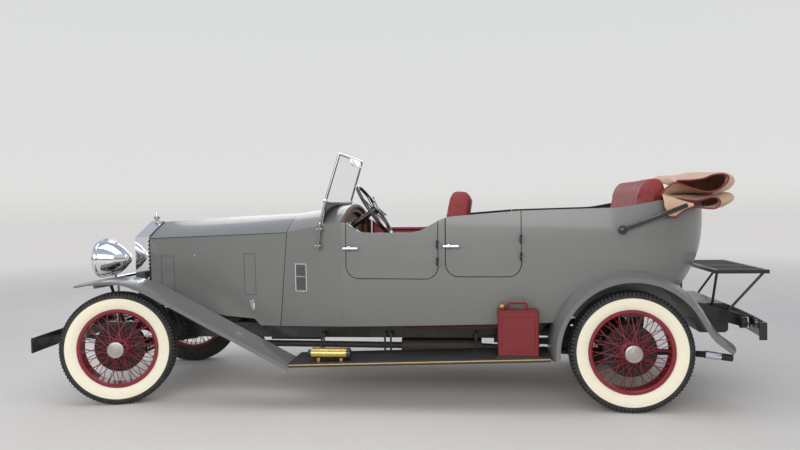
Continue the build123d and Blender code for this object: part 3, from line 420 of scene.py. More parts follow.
# Wheels. Dark red stove enamel on rims, spokes and their nipples, a black drum behind, and a
# turned aluminium cap over the hub.
def add_turned(shape, outline, place, steps):
    """A round piece, turned about its own Z axis from (radius, height) points in millimetres."""
    turned = bmesh.new()
    corners = [turned.verts.new((radius / 1000, 0, height / 1000)) for radius, height in outline]
    lines = [turned.edges.new(pair) for pair in zip(corners, corners[1:])]
    bmesh.ops.spin(
        turned, geom=corners + lines, cent=(0, 0, 0), axis=(0, 0, 1), dvec=(0, 0, 0),
        angle=2 * math.pi, steps=steps, use_merge=True)
    bmesh.ops.remove_doubles(turned, verts=turned.verts, dist=0.00001)
    bmesh.ops.transform(turned, matrix=place, verts=turned.verts)
    add_copy(shape, turned)


for corner, (hub, turn) in wheels.items():
    stand = Matrix.Translation(hub) @ Matrix.Rotation(turn, 4, "Z")
    enamel, _, outward, _, reach = wheel_finish(f"wheel_enamel_{corner}", hub, turn)
    drum = reach.between(0.066, 0.07) * (1.0 - reach.between(0.182, 0.186))
    drum = drum * (1.0 - outward.between(0.001, 0.003))
    grime = enamel.noise(20.0, detail=5.0)
    red = enamel.mix(grime.between(0.35, 0.8), (0.24, 0.006, 0.018), (0.17, 0.008, 0.016))
    enamel.look(
        Base_Color=enamel.mix(drum, red, (0.01, 0.008, 0.008)), Roughness=grime * 0.2 + 0.26 + drum * 0.3,
        Coat_Weight=(1.0 - drum) * 0.35, Coat_Roughness=0.08)
    enamel.grain(180.0, 0.0002, 0.5)
    dress(f"wheel_{corner}", enamel)

    spun, _, _, _, reach = wheel_finish(f"spun_aluminium_{corner}", hub, turn)
    spun.look(Base_Color=spun.mix(reach.wave(0.0063), (0.4, 0.37, 0.35), (0.5, 0.47, 0.45)), Metallic=0.9,
              Roughness=spun.noise(60.0) * 0.1 + 0.3)
    spun.bump(reach.wave(0.0016), 0.0001)
    cap = bmesh.new()
    add_turned(cap, [(40, 92), (58.2, 92), (59.5, 95), (59.5, 106.5), (57.8, 112), (53, 115), (47, 116.2),
                     (45.5, 115.6), (28, 117), (26.5, 118), (15, 118.6), (0, 119)],
               stand @ Matrix.Rotation(-math.pi / 2, 4, "X"), 72)
    settle(f"hub_cap_{corner}", cap, spun, f"wheel_{corner}", 25)

    nipples = bmesh.new()
    for count, offset in ((20, 0.022), (40, 0.006)):
        for place in range(count):
            angle = -2 * math.pi * place / count
            ray = Vector((math.cos(angle), 0, -math.sin(angle)))
            start = ray * 0.259 + Vector((0, offset, 0))
            add_bar(nipples, stand @ (start - ray * 0.014), stand @ start, 0.003, 8, 0.0046)
    settle(f"spoke_nipples_{corner}", nipples, enamel, f"wheel_{corner}")

# Radiator. A bright shell with a gabled top, a matt core behind upright shutters, and a row of
# leather lacing pads on its rear edge that the bonnet rests on.
dress("radiator_shell", plating)
shutters = mottled("radiator_shutters", 30.0, (0.02, 0.021, 0.022), (0.055, 0.056, 0.058),
                   Metallic=0.7, Roughness=0.38)
shutters.bump(shutters.measure("Z").wave(0.004), 0.0003)
dress("radiator_core", shutters)

lacing_hide = mottled("lacing_hide", 70.0, (0.02, 0.016, 0.014), (0.07, 0.055, 0.045), (300.0, 0.0005),
                      Roughness=0.7)
pads = bmesh.new()
for side in (1, -1):
    upright = [at(46, side * 0.29, 0.62 + 0.03 * step) for step in range(19)]
    gable = [at(46, side * 0.029 * step, 1.316 - 0.0122 * step) for step in range(9, 0, -1)]
    for spot in upright:
        add_slab(pads, spot, (0.004, 0.0022, 0.0085), 0.0008)
    for spot in gable:
        add_slab(pads, spot, (0.004, 0.0085, 0.0022), 0.0008, Matrix.Rotation(side * -0.398, 3, "X"))
settle("bonnet_lacing", pads, lacing_hide)

# Bodywork. Aluminium panels in a plain mid-grey cellulose, polished until the top of the bonnet
# mirrors the sky, with a trace of dust near the sills; inner faces are painted near-black as shade.
panel_grey = finish("panel_grey")
haze = panel_grey.noise(1.6, detail=4.0)
sill_dust = (1.0 - panel_grey.measure("Z").between(0.5, 0.95)) * panel_grey.noise(18.0, detail=6.0)
grey = panel_grey.mix(haze, (0.16, 0.161, 0.151), (0.176, 0.176, 0.165))
beside = panel_grey.measure("Y")
inward = panel_grey.facing()[1] * beside.maths("SIGN", beside)
# Faces turned toward the middle of the car are painted near-black, rougher and uncoated, as shade.
inner_shade = 1.0 - inward.between(-0.16, -0.08)
outer = panel_grey.mix(sill_dust * 0.3, grey, (0.22, 0.208, 0.182))
panel_grey.look(
    Base_Color=panel_grey.mix(inner_shade, outer, (0.016, 0.014, 0.013)),
    Roughness=haze * 0.1 + 0.32 + inner_shade * 0.4, Coat_Weight=0.45 - inner_shade * 0.45, Coat_Roughness=0.08)
panel_grey.grain(2.2, 0.003, 0.35, detail=1.0)
panel_grey.grain(420.0, 0.00006)
dress("bonnet_left bonnet_right scuttle body_tub door_front_left door_front_right door_rear_left "
      "door_rear_right", panel_grey)

wing_grey = finish("wing_grey")
haze = wing_grey.noise(2.0, detail=4.0)
under = 1.0 - wing_grey.facing()[2].between(-0.3, -0.12)
road_dust = (1.0 - wing_grey.measure("Z").between(0.35, 0.8)) * wing_grey.noise(16.0, detail=6.0)
grey = wing_grey.mix(road_dust * 0.4, (0.15, 0.151, 0.145), (0.22, 0.206, 0.18))
wing_grey.look(
    Base_Color=wing_grey.mix(under, grey, (0.014, 0.013, 0.012)),
    Roughness=haze * 0.12 + 0.26 + under * 0.3, Coat_Weight=0.4, Coat_Roughness=0.08)
wing_grey.grain(380.0, 0.00006)
dress("front_wings rear_wings", wing_grey)

# Bonnet fittings. Each half has a hinge line along its shoulder, two pressed inspection flaps,
# a plated catch above the sill, and a small button.
sides = (("left", 1), ("right", -1))
trees = {}


def touch(node, start, toward):
    """Where a straight line from start first meets a CAD node, and the surface's direction there."""
    if node not in trees:
        trees[node] = BVHTree.FromObject(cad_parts[node], bpy.context.evaluated_depsgraph_get())
    return trees[node].ray_cast(Vector(start), Vector(toward).normalized())[:2]


def touch_side(node, side, back, height):
    """The same for a level line from well outside one side of the car."""
    return touch(node, at(back, side * 1.2, height), (0, -side, 0))


def add_cord(shape, spots, radius, facets=6):
    """A run of short bars through the spots."""
    for first, second in zip(spots, spots[1:]):
        if (second - first).length > 0.0005:
            add_bar(shape, first, second, radius, facets)


def side_line(shape, node, side, stops, radius, count=12):
    """A thin bead that follows the side of a node through (behind the front axle, height) stops."""
    spots = []
    for first, second in zip(stops, stops[1:]):
        for step in range(count + 1):
            back, height = (a + (b - a) * (step / count) for a, b in zip(first, second))
            spots.append(touch_side(node, side, back, height / 1000)[0])
    add_cord(shape, [spot for spot in spots if spot], radius)


seam_black = mottled("seam_black", 80.0, (0.01, 0.01, 0.01), (0.03, 0.029, 0.027), (200.0, 0.0002),
                     Roughness=0.65)
for name, side in sides:
    node = f"bonnet_{name}"
    seams = bmesh.new()
    side_line(seams, node, side, ((62, 1181), (1214, 1224)), 0.0022)
    for fore, aft, low, high in ((152, 263, 650, 1045), (868, 960, 757, 1066)):
        flap_line = ((fore, low), (fore, high), (aft, high), (aft, low), (fore, low))
        side_line(seams, node, side, flap_line, 0.0014)
    settle(f"bonnet_seams_{name}", seams, seam_black, node)
    catch = bmesh.new()
    spot, normal = touch_side(node, side, 928, 0.678)
    for half in ((0.017, 0.004, 0.04), (0.011, 0.011, 0.04)):
        add_slab(catch, spot, half, 0.003)
    for near, far, radius in (
            ((0.006, 0.004, 0.036), (0.022, 0.004, 0.03), 0.009),
            ((0.018, 0.004, 0.034), (0.02, -0.008, -0.034), 0.006)):
        add_bar(catch, *(spot + normal * out + Vector((x, 0, z)) for out, x, z in (near, far)), radius)
    button, facing = touch_side(node, side, 450, 1.053)
    add_bar(catch, button, button + facing * 0.006, 0.006)
    settle(f"bonnet_catch_{name}", catch, plating, node)


# Bonnet welt. A strip of black webbing laid in the gap that the bonnet shuts against.
def shut_line(height):
    """How far behind the front axle the bonnet ends at a height, both in millimetres."""
    return 1152 + (height - 515) * 0.1008


welt = bmesh.new()
spots = []
side_share, shoulder_z, crown_z = 0.36, 1.205, 1.3
for step in range(61):
    share = step / 60
    if side_share <= share <= 1 - side_share:
        start, toward = Vector((0, 0.455 * (0.5 - share) / (0.5 - side_share), 2.0)), (0, 0, -1)
        height = crown_z
    else:
        side = 1 if share < side_share else -1
        height = 0.535 + (shoulder_z - 0.535) * min(share, 1 - share) / side_share
        start, toward = Vector((0, side * 1.2, height)), (0, -side, 0)
    start.x = along(shut_line(height * 1000) + 8)
    spot, normal = touch("scuttle", start, toward)
    if spot:
        spot -= normal * 0.007
        spot.x = along(shut_line(spot.z * 1000))
        spots.append(spot)
add_cord(welt, spots, 0.0022)
settle("bonnet_welt", welt, seam_black)

# Scuttle vents. A plated frame screwed to the side of the scuttle round a pressed flap.
vent_grey = mottled("vent_grey", 60.0, (0.085, 0.085, 0.08), (0.11, 0.11, 0.103), (300.0, 0.0002),
                    Roughness=0.5)
for name, side in sides:
    vent, slots, flaps = bmesh.new(), bmesh.new(), bmesh.new()
    frame_line = ((1286, 793), (1286, 993), (1373, 993), (1373, 793), (1286, 793))
    side_line(vent, "scuttle", side, frame_line, 0.0052, 4)
    side_line(vent, "scuttle", side, ((1294, 900), (1365, 900)), 0.003, 3)
    for height in (806, 980):
        side_line(slots, "scuttle", side, ((1302, height), (1358, height)), 0.002, 3)
    for low, high in ((801, 893), (907, 985)):
        for back in range(1298, 1365, 6):
            side_line(flaps, "scuttle", side, ((back, low), (back, high)), 0.0032, 4)
    settle(f"scuttle_vent_frame_{name}", vent, plating)
    settle(f"scuttle_vent_flap_{name}", slots, plating)
    settle(f"scuttle_vent_panels_{name}", flaps, vent_grey)

# Door furniture. Plated lever handles on dark round bosses; the hinge barrels are sleeved in black enamel.
latches = {
    "front": (1713.6, 0.641, 1.112, 6.11, 2350, 0.7091),
    "rear": (2430.5, 0.7143, 1.126, 2.57, 2923, 0.7364)}
hinge_heights = {"front": (1.019, 1.138), "rear": (1.053, 1.174)}
for door, (back, reach, height, lean_out, hinge_back, hinge_y) in latches.items():
    for name, side in sides:
        node = f"door_{door}_{name}"
        angle = math.radians(lean_out)
        outward = Vector((math.sin(angle), side * math.cos(angle), 0))
        forward = Vector((math.cos(angle), -side * math.sin(angle), 0))
        stem = at(back, side * reach, height)
        lever = bmesh.new()
        add_turned(lever, [(0, -10), (15, -10), (15, -4), (10.5, 0), (9.8, 18),
                           (12.5, 26), (0, 26)], facing_place(stem, outward), 28)
        grip = stem + outward * 0.026
        for low, high in ((-0.07, -0.004), (-0.01, 0.034)):
            add_bar(lever, grip + forward * low, grip + forward * high, 0.0102, 20)
        for end, way in ((-0.07, -1), (0.034, 1)):
            add_turned(lever, [(10.2, 0), (9.4, 3), (7, 5.5), (0, 6.8)],
                       facing_place(grip + forward * end, forward * way), 20)
        settle(f"handle_{door}_{name}", lever, plating, node)
        plate = bmesh.new()
        add_turned(plate, [(0, 3.5), (14, 3.5), (18, 2.5), (20, 0), (20, -4), (0, -4)],
                   facing_place(stem - outward * 0.0115, outward), 32)
        settle(f"handle_plate_{door}_{name}", plate, seam_black, node)
        for level in hinge_heights[door]:
            for tag, body, low, high in (("lower", "car", -29.1, -0.2), ("upper", node, 0.2, 29.1)):
                barrel = bmesh.new()
                add_turned(
                    barrel, [(0, low), (7.6, low), (8.6, low + 1.2), (8.6, high - 1.2),
                             (7.6, high), (0, high)],
                    Matrix.Translation(at(hinge_back, side * hinge_y, level)), 20)
                settle(f"hinge_{door}_{name}_{tag}_{level * 1000:.0f}", barrel, chassis_black, body)


# Door seals. Black rubber cord set in the body round each opening, which closes the gap.
def bend(start):
    """Steps round a quarter of a lower corner of a door, as distances from its two straight edges."""
    for turn in range(start, 91, 9):
        angle = math.radians(turn)
        yield 93 * (1 - math.cos(angle)), 93 * (1 - math.sin(angle))


for door, front, rear, low in (("front", 1688, 2350, 898), ("rear", 2408, 2923, 915)):
    jamb = [(front - 1, height) for height in range(1300, low + 80, -20)]
    sill = [(front - 3 + near, low - 3 + far) for near, far in bend(5)]
    sill += [(back, low - 3) for back in range(front + 110, rear - 100, 20)]
    sill += [(rear + 3 - far, low - 3 + near) for near, far in bend(0)]
    sill += [(rear + 3, height) for height in range(low + 110, 1330, 20)]
    for name, side in sides:
        for part, radius, stops in (("front", 0.0046, jamb), ("sill", 0.0026, sill)):
            spots = []
            for back, height in stops:
                pillar = back - 12 if back < (front + rear) / 2 else back + 12
                level = height - 10 if front + 40 < back < rear - 40 else height
                spot, normal = touch_side("body_tub", side, pillar, level / 1000)
                if spot and abs(spot.y) > 0.5:
                    spots.append(at(back, spot.y - side * 0.026, height / 1000))
            seal = bmesh.new()
            add_cord(seal, spots, radius, 8)
            settle(f"seal_{door}_{part}_{name}", seal, seam_black)

# Running boards. Boards faced with black ribbed rubber, with a thin gilt strip along the edge.
ribbed = finish("ribbed_rubber")
top_side = ribbed.facing()[2].between(0.5, 0.8)
scuff = ribbed.noise(7.0, detail=6.0, stretch=(0.4, 1, 1))
ribbed.look(Base_Color=ribbed.mix(scuff, (0.014, 0.015, 0.017), (0.05, 0.048, 0.046)),
            Roughness=scuff * 0.25 + 0.42)
ribbed.bump(ribbed.measure("Y").wave(0.016) * top_side, 0.003)
dress("running_boards", ribbed)
gilt = mottled("gilt_strip", 40.0, (0.7, 0.5, 0.22), (0.55, 0.38, 0.17), Metallic=1.0, Roughness=0.28)
strip = bmesh.new()
for side in (1, -1):
    add_slab(strip, at(2208.5, side * 0.8505, 0.3442), (0.8955, 0.0045, 0.004), 0.0015,
             Matrix.Rotation(math.atan(0.031), 3, "Y"))
settle("board_strip", strip, gilt)


# Windscreen. A frame in two bent stanchions, both in grey nickel, with wing nuts at its feet, a pane
# of plate glass, a near-black apron down to the scuttle and a long plated mirror under the top rail.
def thicken(piece, thickness):
    """Gives a thin piece its thickness."""
    piece.modifiers.new("thickness", "SOLIDIFY").thickness = thickness


nickel = mottled("grey_nickel", 9.0, (0.3, 0.295, 0.285), (0.4, 0.395, 0.38), detail=4.0, Metallic=1.0)
nickel.look(Roughness=nickel.noise(30.0) * 0.08 + 0.14)
nickel.grain(4.0, 0.001, 0.4, detail=1.0)
dress("windscreen_frame", nickel)
pane = finish("clear_pane")
pane.look(Base_Color=(0.93, 0.95, 0.94), Roughness=pane.noise(3.0) * 0.02, Transmission_Weight=1.0,
          IOR=1.02)
dress("windscreen_glass", pane)
dark_apron = mottled("dark_apron", 12.0, (0.012, 0.012, 0.013), (0.04, 0.038, 0.037), (150.0, 0.0004),
                       Roughness=0.5)
apron = bmesh.new()
bmesh.ops.create_grid(apron, x_segments=40, y_segments=1, size=1.0)
for corner in apron.verts:
    across = corner.co.x * 0.492
    if corner.co.y > 0:
        corner.co = at(1521, across, 1.44)
    else:
        spot, normal = touch("scuttle", at(1509, across * 1.12, 2.0), (0, 0, -1))
        corner.co = spot + Vector((0, 0, 0.001)) if spot else at(1509, across, 1.28)
thicken(settle("windscreen_apron", apron, dark_apron), 0.004)

fittings = bmesh.new()
for side in (1, -1):
    for back, height in ((1483, 1.13), (1496, 1.25)):
        add_bar(fittings, at(back, side * 0.598, height), at(back, side * 0.628, height), 0.011)
        add_slab(fittings, at(back, side * 0.618, height), (0.022, 0.003, 0.007), 0.002)
    add_turned(fittings, [(0, -12), (16, -10), (18, 0), (16, 10), (0, 12)],
               facing_place(at(1523, side * 0.516, 1.452), (0, 1, 0)), 24)
settle("windscreen_nuts", fittings, nickel)

mirror_body = bmesh.new()
tilt = Matrix.Rotation(math.radians(18), 3, "Y")
add_slab(mirror_body, at(1656, -0.035, 1.758), (0.006, 0.205, 0.03), 0.005, tilt)
add_bar(mirror_body, at(1633, -0.035, 1.79), at(1652, -0.035, 1.764), 0.007)
settle("mirror_back", mirror_body, plating)
silvered = finish("silvered_glass")
silvered.look(Base_Color=(0.92, 0.93, 0.94), Metallic=1.0, Roughness=silvered.noise(4.0) * 0.02 + 0.01)
mirror_face = bmesh.new()
add_slab(mirror_face, at(1662.5, -0.035, 1.757), (0.0015, 0.199, 0.025), 0.001, tilt)
settle("mirror_glass", mirror_face, silvered)

# Dashboard. A board and a padded rim in brown hide, a roll of the same hide under the scuttle's
# edge, and plated dials with cream faces.
rim_hide = mottled("rim_hide", 5.0, (0.11, 0.052, 0.03), (0.2, 0.105, 0.062), detail=5.0)
hide_grain = rim_hide.noise(160.0, detail=4.0)
rim_hide.look(Roughness=hide_grain * 0.2 + 0.45)
rim_hide.bump(hide_grain, 0.0006)
dress("dashboard", rim_hide)
cowl_roll = bmesh.new()
spots = []
for step in range(81):
    turn = math.pi * (0.02 + 0.96 * step / 80)
    ray = Vector((0, math.cos(turn), math.sin(turn)))
    spot, normal = touch("scuttle", at(1652, 0, 1.17) + ray * 1.2, -ray)
    spots.append(at(1661, spot.y, spot.z) - Vector((0, normal.y, normal.z)) * 0.0175)
add_cord(cowl_roll, spots, 0.0165, 14)
settle("cowl_roll", cowl_roll, rim_hide, sharp=80)
dial_face = mottled("dial_face", 30.0, (0.75, 0.72, 0.62), (0.8, 0.78, 0.7), Roughness=0.35,
                    Coat_Weight=1.0, Coat_Roughness=0.02)
bezels, faces, hands = bmesh.new(), bmesh.new(), bmesh.new()
for across, height, radius in (
        (0.16, 1.235, 45), (0.045, 1.235, 45), (-0.06, 1.255, 28), (-0.13, 1.215, 28),
        (-0.23, 1.235, 45), (0.385, 1.255, 28)):
    dial = facing_place(at(1616, across, height), (-1, 0, 0))
    add_turned(bezels, [(radius, 0), (radius + 7, 0), (radius + 7, 6), (radius, 10),
                        (radius - 4, 7)], dial, 40)
    add_turned(faces, [(0, 4), (radius, 4), (radius, 0)], dial, 40)
    for mark in range(12):
        ray = Vector((math.cos(math.pi * mark / 6), math.sin(math.pi * mark / 6), 0)) * radius / 1000
        lift = Vector((0, 0, 0.0044))
        add_bar(hands, dial @ (ray * 0.74 + lift), dial @ (ray * 0.9 + lift), 0.0009, 4)
    tip = Vector((radius * 0.4, radius * 0.5, 4.6)) / 1000
    add_bar(hands, dial @ Vector((0, 0, tip.z)), dial @ tip, 0.0011, 4)
settle("dial_bezels", bezels, plating)
settle("dial_faces", faces, dial_face)
settle("dial_hands", hands, seam_black)

# Steering wheel. A rim and spokes in polished black composition, with a nickel quadrant and three
# small levers on the boss.
hard_black = mottled("hard_black", 12.0, (0.01, 0.01, 0.01), (0.022, 0.02, 0.018), (90.0, 0.0001),
                     Roughness=0.22, Coat_Weight=0.5)
dress("steering_wheel", hard_black)
slope = math.radians(34.0)
column_up = Vector((-math.cos(slope), 0, math.sin(slope)))
boss = at(1865, 0.38, 1.38)
quadrant = bmesh.new()
add_turned(quadrant, [(0, 20), (46, 20), (50, 24), (46, 30), (26, 33), (0, 40)],
           facing_place(boss, column_up), 40)
sideways = column_up.cross(Vector((0, 1, 0))).normalized()
for angle in (0.9, 2.2, 4.4):
    ray = Vector((0, 1, 0)) * math.cos(angle) + sideways * math.sin(angle)
    add_bar(quadrant, boss + column_up * 0.034, boss + column_up * 0.046 + ray * 0.085, 0.0032, 10)
    bmesh.ops.create_uvsphere(quadrant, u_segments=12, v_segments=8, radius=0.008,
                              matrix=Matrix.Translation(boss + column_up * 0.046 + ray * 0.088))
settle("steering_quadrant", quadrant, nickel, "steering_wheel")

# Floor. Boards under a close-cut dark red carpet.
carpet = finish("red_carpet")
tuft = carpet.noise(420.0, detail=2.0)
carpet.look(Base_Color=carpet.mix(tuft, (0.045, 0.01, 0.011), (0.115, 0.022, 0.024)), Roughness=0.95,
            Sheen_Weight=0.3)
carpet.bump(tuft, 0.003)
dress("body_floor", carpet)

# Upholstery hide. Red leather with a fine grain, darker where it creases and worn where it is
# rubbed, used for the seats, the door linings and the roll round the cockpit.
red_hide = finish("red_hide")
wear = red_hide.noise(3.5, detail=5.0)
grain = red_hide.node("ShaderNodeTexVoronoi", {"feature": "DISTANCE_TO_EDGE"},
                      red_hide.node("ShaderNodeTexCoord", {}, out=3), None, 330.0)
red_hide.look(
    Base_Color=red_hide.mix(wear, (0.215, 0.02, 0.024), (0.33, 0.05, 0.05)), Roughness=wear * 0.16 + 0.4,
    Specular_IOR_Level=0.4)
red_hide.bump(grain.between(0.0, 0.25), 0.0005, 0.7)
red_hide.grain(14.0, 0.0022, 0.6, detail=3.0)


def tube(name, spots, radius, coat, body="car", fineness=3):
    """A round cord of cloth, hide or metal through the given points."""
    curve = bpy.data.curves.new(name, "CURVE")
    curve.dimensions, curve.use_fill_caps = "3D", True
    curve.bevel_depth, curve.bevel_resolution = radius, fineness
    line = curve.splines.new("POLY")
    line.points.add(len(spots) - 1)
    for point, spot in zip(line.points, spots):
        point.co = (*spot, 1.0)
    drawn = bpy.data.objects.new(name, curve)
    link(drawn)
    mesh = bpy.data.meshes.new_from_object(drawn)
    bpy.data.objects.remove(drawn)
    return install(name, mesh, coat, body)


def wall_top(node, side, back):
    """The outer face of a wall at waist height, and the top of the wall a little further in."""
    waist_z, well_above, inset = 1.095, 2.0, side * 0.02
    outer = touch_side(node, side, back, waist_z)[0]
    top = touch(node, at(back, outer.y - inset, well_above), (0, 0, -1))[0] if outer else None
    return outer, top


def edge_roll(name, body, node, side, back_from, back_to):
    """A leather roll along the top edge of a wall, from one place to another."""
    path = []
    radius, steps = 0.01, 28
    for step in range(steps + 1):
        back = back_from + (back_to - back_from) * step / steps
        outer, top = wall_top(node, side, back)
        if top:
            path.append(at(back, outer.y - side * 0.047, top.z - radius - 0.003))
    roll = tube(name, path, radius, red_hide, body, 4)


def lining(name, body, node, side, back_from, back_to, low, top_drop=0.03):
    """A padded hide panel on the inner face of a wall, from a low edge up to just below its top."""
    panel = bmesh.new()
    bmesh.ops.create_grid(panel, x_segments=24, y_segments=10, size=1.0)
    for corner in panel.verts:
        share_x, share_z = corner.co.x / 2 + 0.5, corner.co.y / 2 + 0.5
        back = back_from + (back_to - back_from) * share_x
        outer, top = wall_top(node, side, back)
        height = low / 1000 + (top.z - top_drop - low / 1000) * share_z
        inner = touch(node, at(back, 0, height), (0, side, 0))[0]
        if inner is None:
            inner = at(back, outer.y - side * 0.046, height)
        swell = 0.009 * math.sin(math.pi * share_x) ** 0.4 * math.sin(math.pi * share_z) ** 0.4
        corner.co = inner - Vector((0, side * (0.003 + swell), 0))
    made = settle(name, panel, red_hide, body)


for name, side in sides:
    for door, front, rear, low in (("front", 1700, 2338, 925), ("rear", 2420, 2911, 942)):
        node = f"door_{door}_{name}"
        edge_roll(f"roll_{door}_{name}", node, node, side, front + 8, rear - 8)
        lining(f"lining_{door}_{name}", node, node, side, front + 14, rear - 14, low)
    for door, front, low in (("front", 1688, 905), ("rear", 2408, 922)):
        welt = bmesh.new()
        spots = []
        for height in range(low, 1400, 12):
            inner, normal = touch("body_tub", at(front - 14, 0, height / 1000), (0, side, 0))
            if inner and abs(inner.y) > 0.5:
                spots.append(at(front, inner.y - side * 0.0092, height / 1000))
        add_cord(welt, spots, 0.008, 12)
        settle(f"draught_welt_{door}_{name}", welt, rim_hide, sharp=80)
    lining(f"lining_cowl_{name}", "car", "scuttle", side, 1300, 1652, 620, 0.06)
    edge_roll(f"roll_quarter_{name}", "car", "body_tub", side, 2945, 3850)
    lining(f"lining_quarter_{name}", "car", "body_tub", side, 2945, 3860, 962)


# Seats. Two bench seats of sprung hide cushions. The front one is plain and stands on a carpeted
# box; the rear squab is sewn in upright flutes between smooth ends.
def pad(name, outline, half, bevel, cap, replaced=None, flutes=None):
    """A stuffed cushion: a side-view outline drawn across the car, then blown out like a filled cover."""
    shape = bmesh.new()
    face = shape.faces.new([shape.verts.new(at(back, -half, height / 1000)) for back, height in outline])
    made = bmesh.ops.extrude_face_region(shape, geom=[face])
    top = [corner for corner in made["geom"] if isinstance(corner, bmesh.types.BMVert)]
    bmesh.ops.translate(shape, verts=top, vec=(0, 2 * half, 0))
    bmesh.ops.recalc_face_normals(shape, faces=shape.faces)
    bmesh.ops.bevel(
        shape, geom=shape.edges[:], offset=bevel, segments=4, profile=0.5, affect="EDGES", material=-1)
    cushion = settle(name, shape, red_hide, sharp=180)
    remesh = cushion.modifiers.new("even", "REMESH")
    remesh.mode, remesh.voxel_size, remesh.use_smooth_shade = "VOXEL", 0.011, True
    apply_modifiers(cushion)
    rest = [corner.co.copy() for corner in cushion.data.vertices]
    cloth = cushion.modifiers.new("stuffing", "CLOTH").settings
    cloth.use_pressure, cloth.uniform_pressure_force, cloth.mass = True, 4.0, 0.4
    cloth.tension_stiffness = cloth.compression_stiffness = 25.0
    cloth.bending_stiffness, cloth.effector_weights.gravity, cloth.quality = 2.0, 0.0, 4
    for step in range(1, 17):
        bpy.context.scene.frame_set(step)
    apply_modifiers(cushion)
    bpy.context.scene.frame_set(1)
    for corner, before in zip(cushion.data.vertices, rest):
        moved = corner.co - before
        if moved.length > cap:
            corner.co = before + moved * (cap / moved.length)
    if flutes:
        flutes(cushion.data)
    smooth = cushion.modifiers.new("finer", "SUBSURF")
    smooth.levels = smooth.render_levels = 1
    apply_modifiers(cushion)
    cushion.data.polygons.foreach_set("use_smooth", [True] * len(cushion.data.polygons))
    if replaced:
        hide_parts(replaced)


def apply_modifiers(piece):
    """Turns a piece's modifiers into its mesh."""
    seen = bpy.context.evaluated_depsgraph_get()
    mesh = bpy.data.meshes.new_from_object(piece.evaluated_get(seen))
    piece.modifiers.clear()
    piece.data = mesh


def upright_flutes(mesh):
    """Presses sewn channels into the front face of the rear squab."""
    pitch, reach = 0.095, 0.475
    for corner in mesh.vertices:
        place, across = corner.co, corner.co.y
        back, height = (front_axle_x - place.x) * 1000, place.z * 1000
        face = 3600 + (height - 760) * 0.235 + 75
        if abs(across) < reach and back < face and height > 800:
            channel = abs(math.sin(math.pi * (across / pitch)))
            fade = min(1.0, (reach - abs(across)) / 0.02)
            place.x -= 0.01 * (1 - channel) ** 2 * fade


pad("front_squab", [(2416, 716), (2414, 1325), (2449, 1490), (2474, 1516), (2560, 1511), (2584, 1470),
                    (2560, 1325), (2546, 716)], 0.548, 0.02, 0.009, replaced="front_seat")
pad("front_cushion", [(1974, 702), (1966, 822), (2430, 800), (2440, 702)], 0.548, 0.03, 0.016)
pad("rear_squab", [(3614, 776), (3776, 1510), (3812, 1584), (3906, 1584), (3932, 1510), (3800, 776)],
    0.532, 0.03, 0.014, replaced="rear_seat", flutes=upright_flutes)
pad("rear_cushion", [(3000, 724), (2998, 918), (3588, 882), (3600, 724)], 0.545, 0.034, 0.018)
seat_box = bmesh.new()
add_slab(seat_box, at(2255, 0, 0.6275), (0.245, 0.54, 0.0665), 0.006)
settle("front_seat_box", seat_box, carpet)

# Folded hood. One sheet of tan double-duck canvas folded down in loose bights behind the rear
# seat, bound along its edges with dark red piping, over black irons with ball pivots.
canvas = finish("tan_canvas")
weave_x, weave_y, weave_z = canvas.axes(canvas.place())
thread = (weave_y.wave(0.0022) + (weave_x + weave_z).wave(0.0022)) * 0.5
fade = canvas.noise(4.0, detail=5.0)
canvas.look(Base_Color=canvas.mix(fade, (0.56, 0.355, 0.225), (0.7, 0.475, 0.325)), Roughness=0.92,
            Sheen_Weight=0.2)
canvas.bump(thread, 0.0005, 0.7)
canvas.grain(9.0, 0.006, 0.6)
bound_red = mottled("bound_red", 30.0, (0.15, 0.014, 0.018), (0.23, 0.028, 0.032), (260.0, 0.0004),
                    Roughness=0.55)


def smooth_path(stops, steps):
    """Evenly spaced points on a soft line through (behind the front axle, height) stops; its length."""
    points = [at(back, 0, height / 1000) for back, height in stops]
    padded = [points[0], *points, points[-1]]
    fine = []
    for before, first, second, after in zip(padded, padded[1:], padded[2:], padded[3:]):
        bend_in, bend_out = first + (second - before) / 6, second - (after - first) / 6
        fine += interpolate_bezier(first, bend_in, bend_out, second, 25)[:-1]
    fine.append(points[-1])
    runs = [0.0]
    for first, second in zip(fine, fine[1:]):
        runs.append(runs[-1] + (second - first).length)
    spaced, index = [], 0
    for step in range(steps + 1):
        goal = runs[-1] * step / steps
        while index < len(runs) - 2 and runs[index + 1] < goal:
            index += 1
        share = (goal - runs[index]) / max(runs[index + 1] - runs[index], 1e-9)
        spaced.append(fine[index].lerp(fine[index + 1], share))
    return spaced, runs[-1]


edge_line = [
    (3975, 1530), (3962, 1548), (4055, 1552), (4133, 1562), (4197, 1584), (4261, 1587), (4294, 1565),
    (4274, 1522), (4222, 1484), (4158, 1471), (4081, 1485), (4016, 1515), (3951, 1536), (3906, 1512),
    (3866, 1464), (3892, 1440), (3990, 1426), (4093, 1415), (4171, 1432), (4222, 1428), (4241, 1395),
    (4209, 1360), (4119, 1367), (4041, 1378)]
middle_line = [
    (3965, 1535), (3985, 1585), (4065, 1602), (4150, 1608), (4250, 1611), (4345, 1605), (4410, 1572),
    (4420, 1528), (4372, 1486), (4270, 1466), (4170, 1464), (4080, 1470), (4005, 1476), (3966, 1480),
    (3950, 1468), (3975, 1458), (4040, 1453), (4130, 1451), (4240, 1454), (4345, 1464), (4398, 1440),
    (4392, 1406), (4350, 1384), (4318, 1370)]
hood_steps, hood_half = 160, 0.684
edge_path = smooth_path(edge_line, hood_steps)[0]
middle_path, hood_run = smooth_path(middle_line, hood_steps)


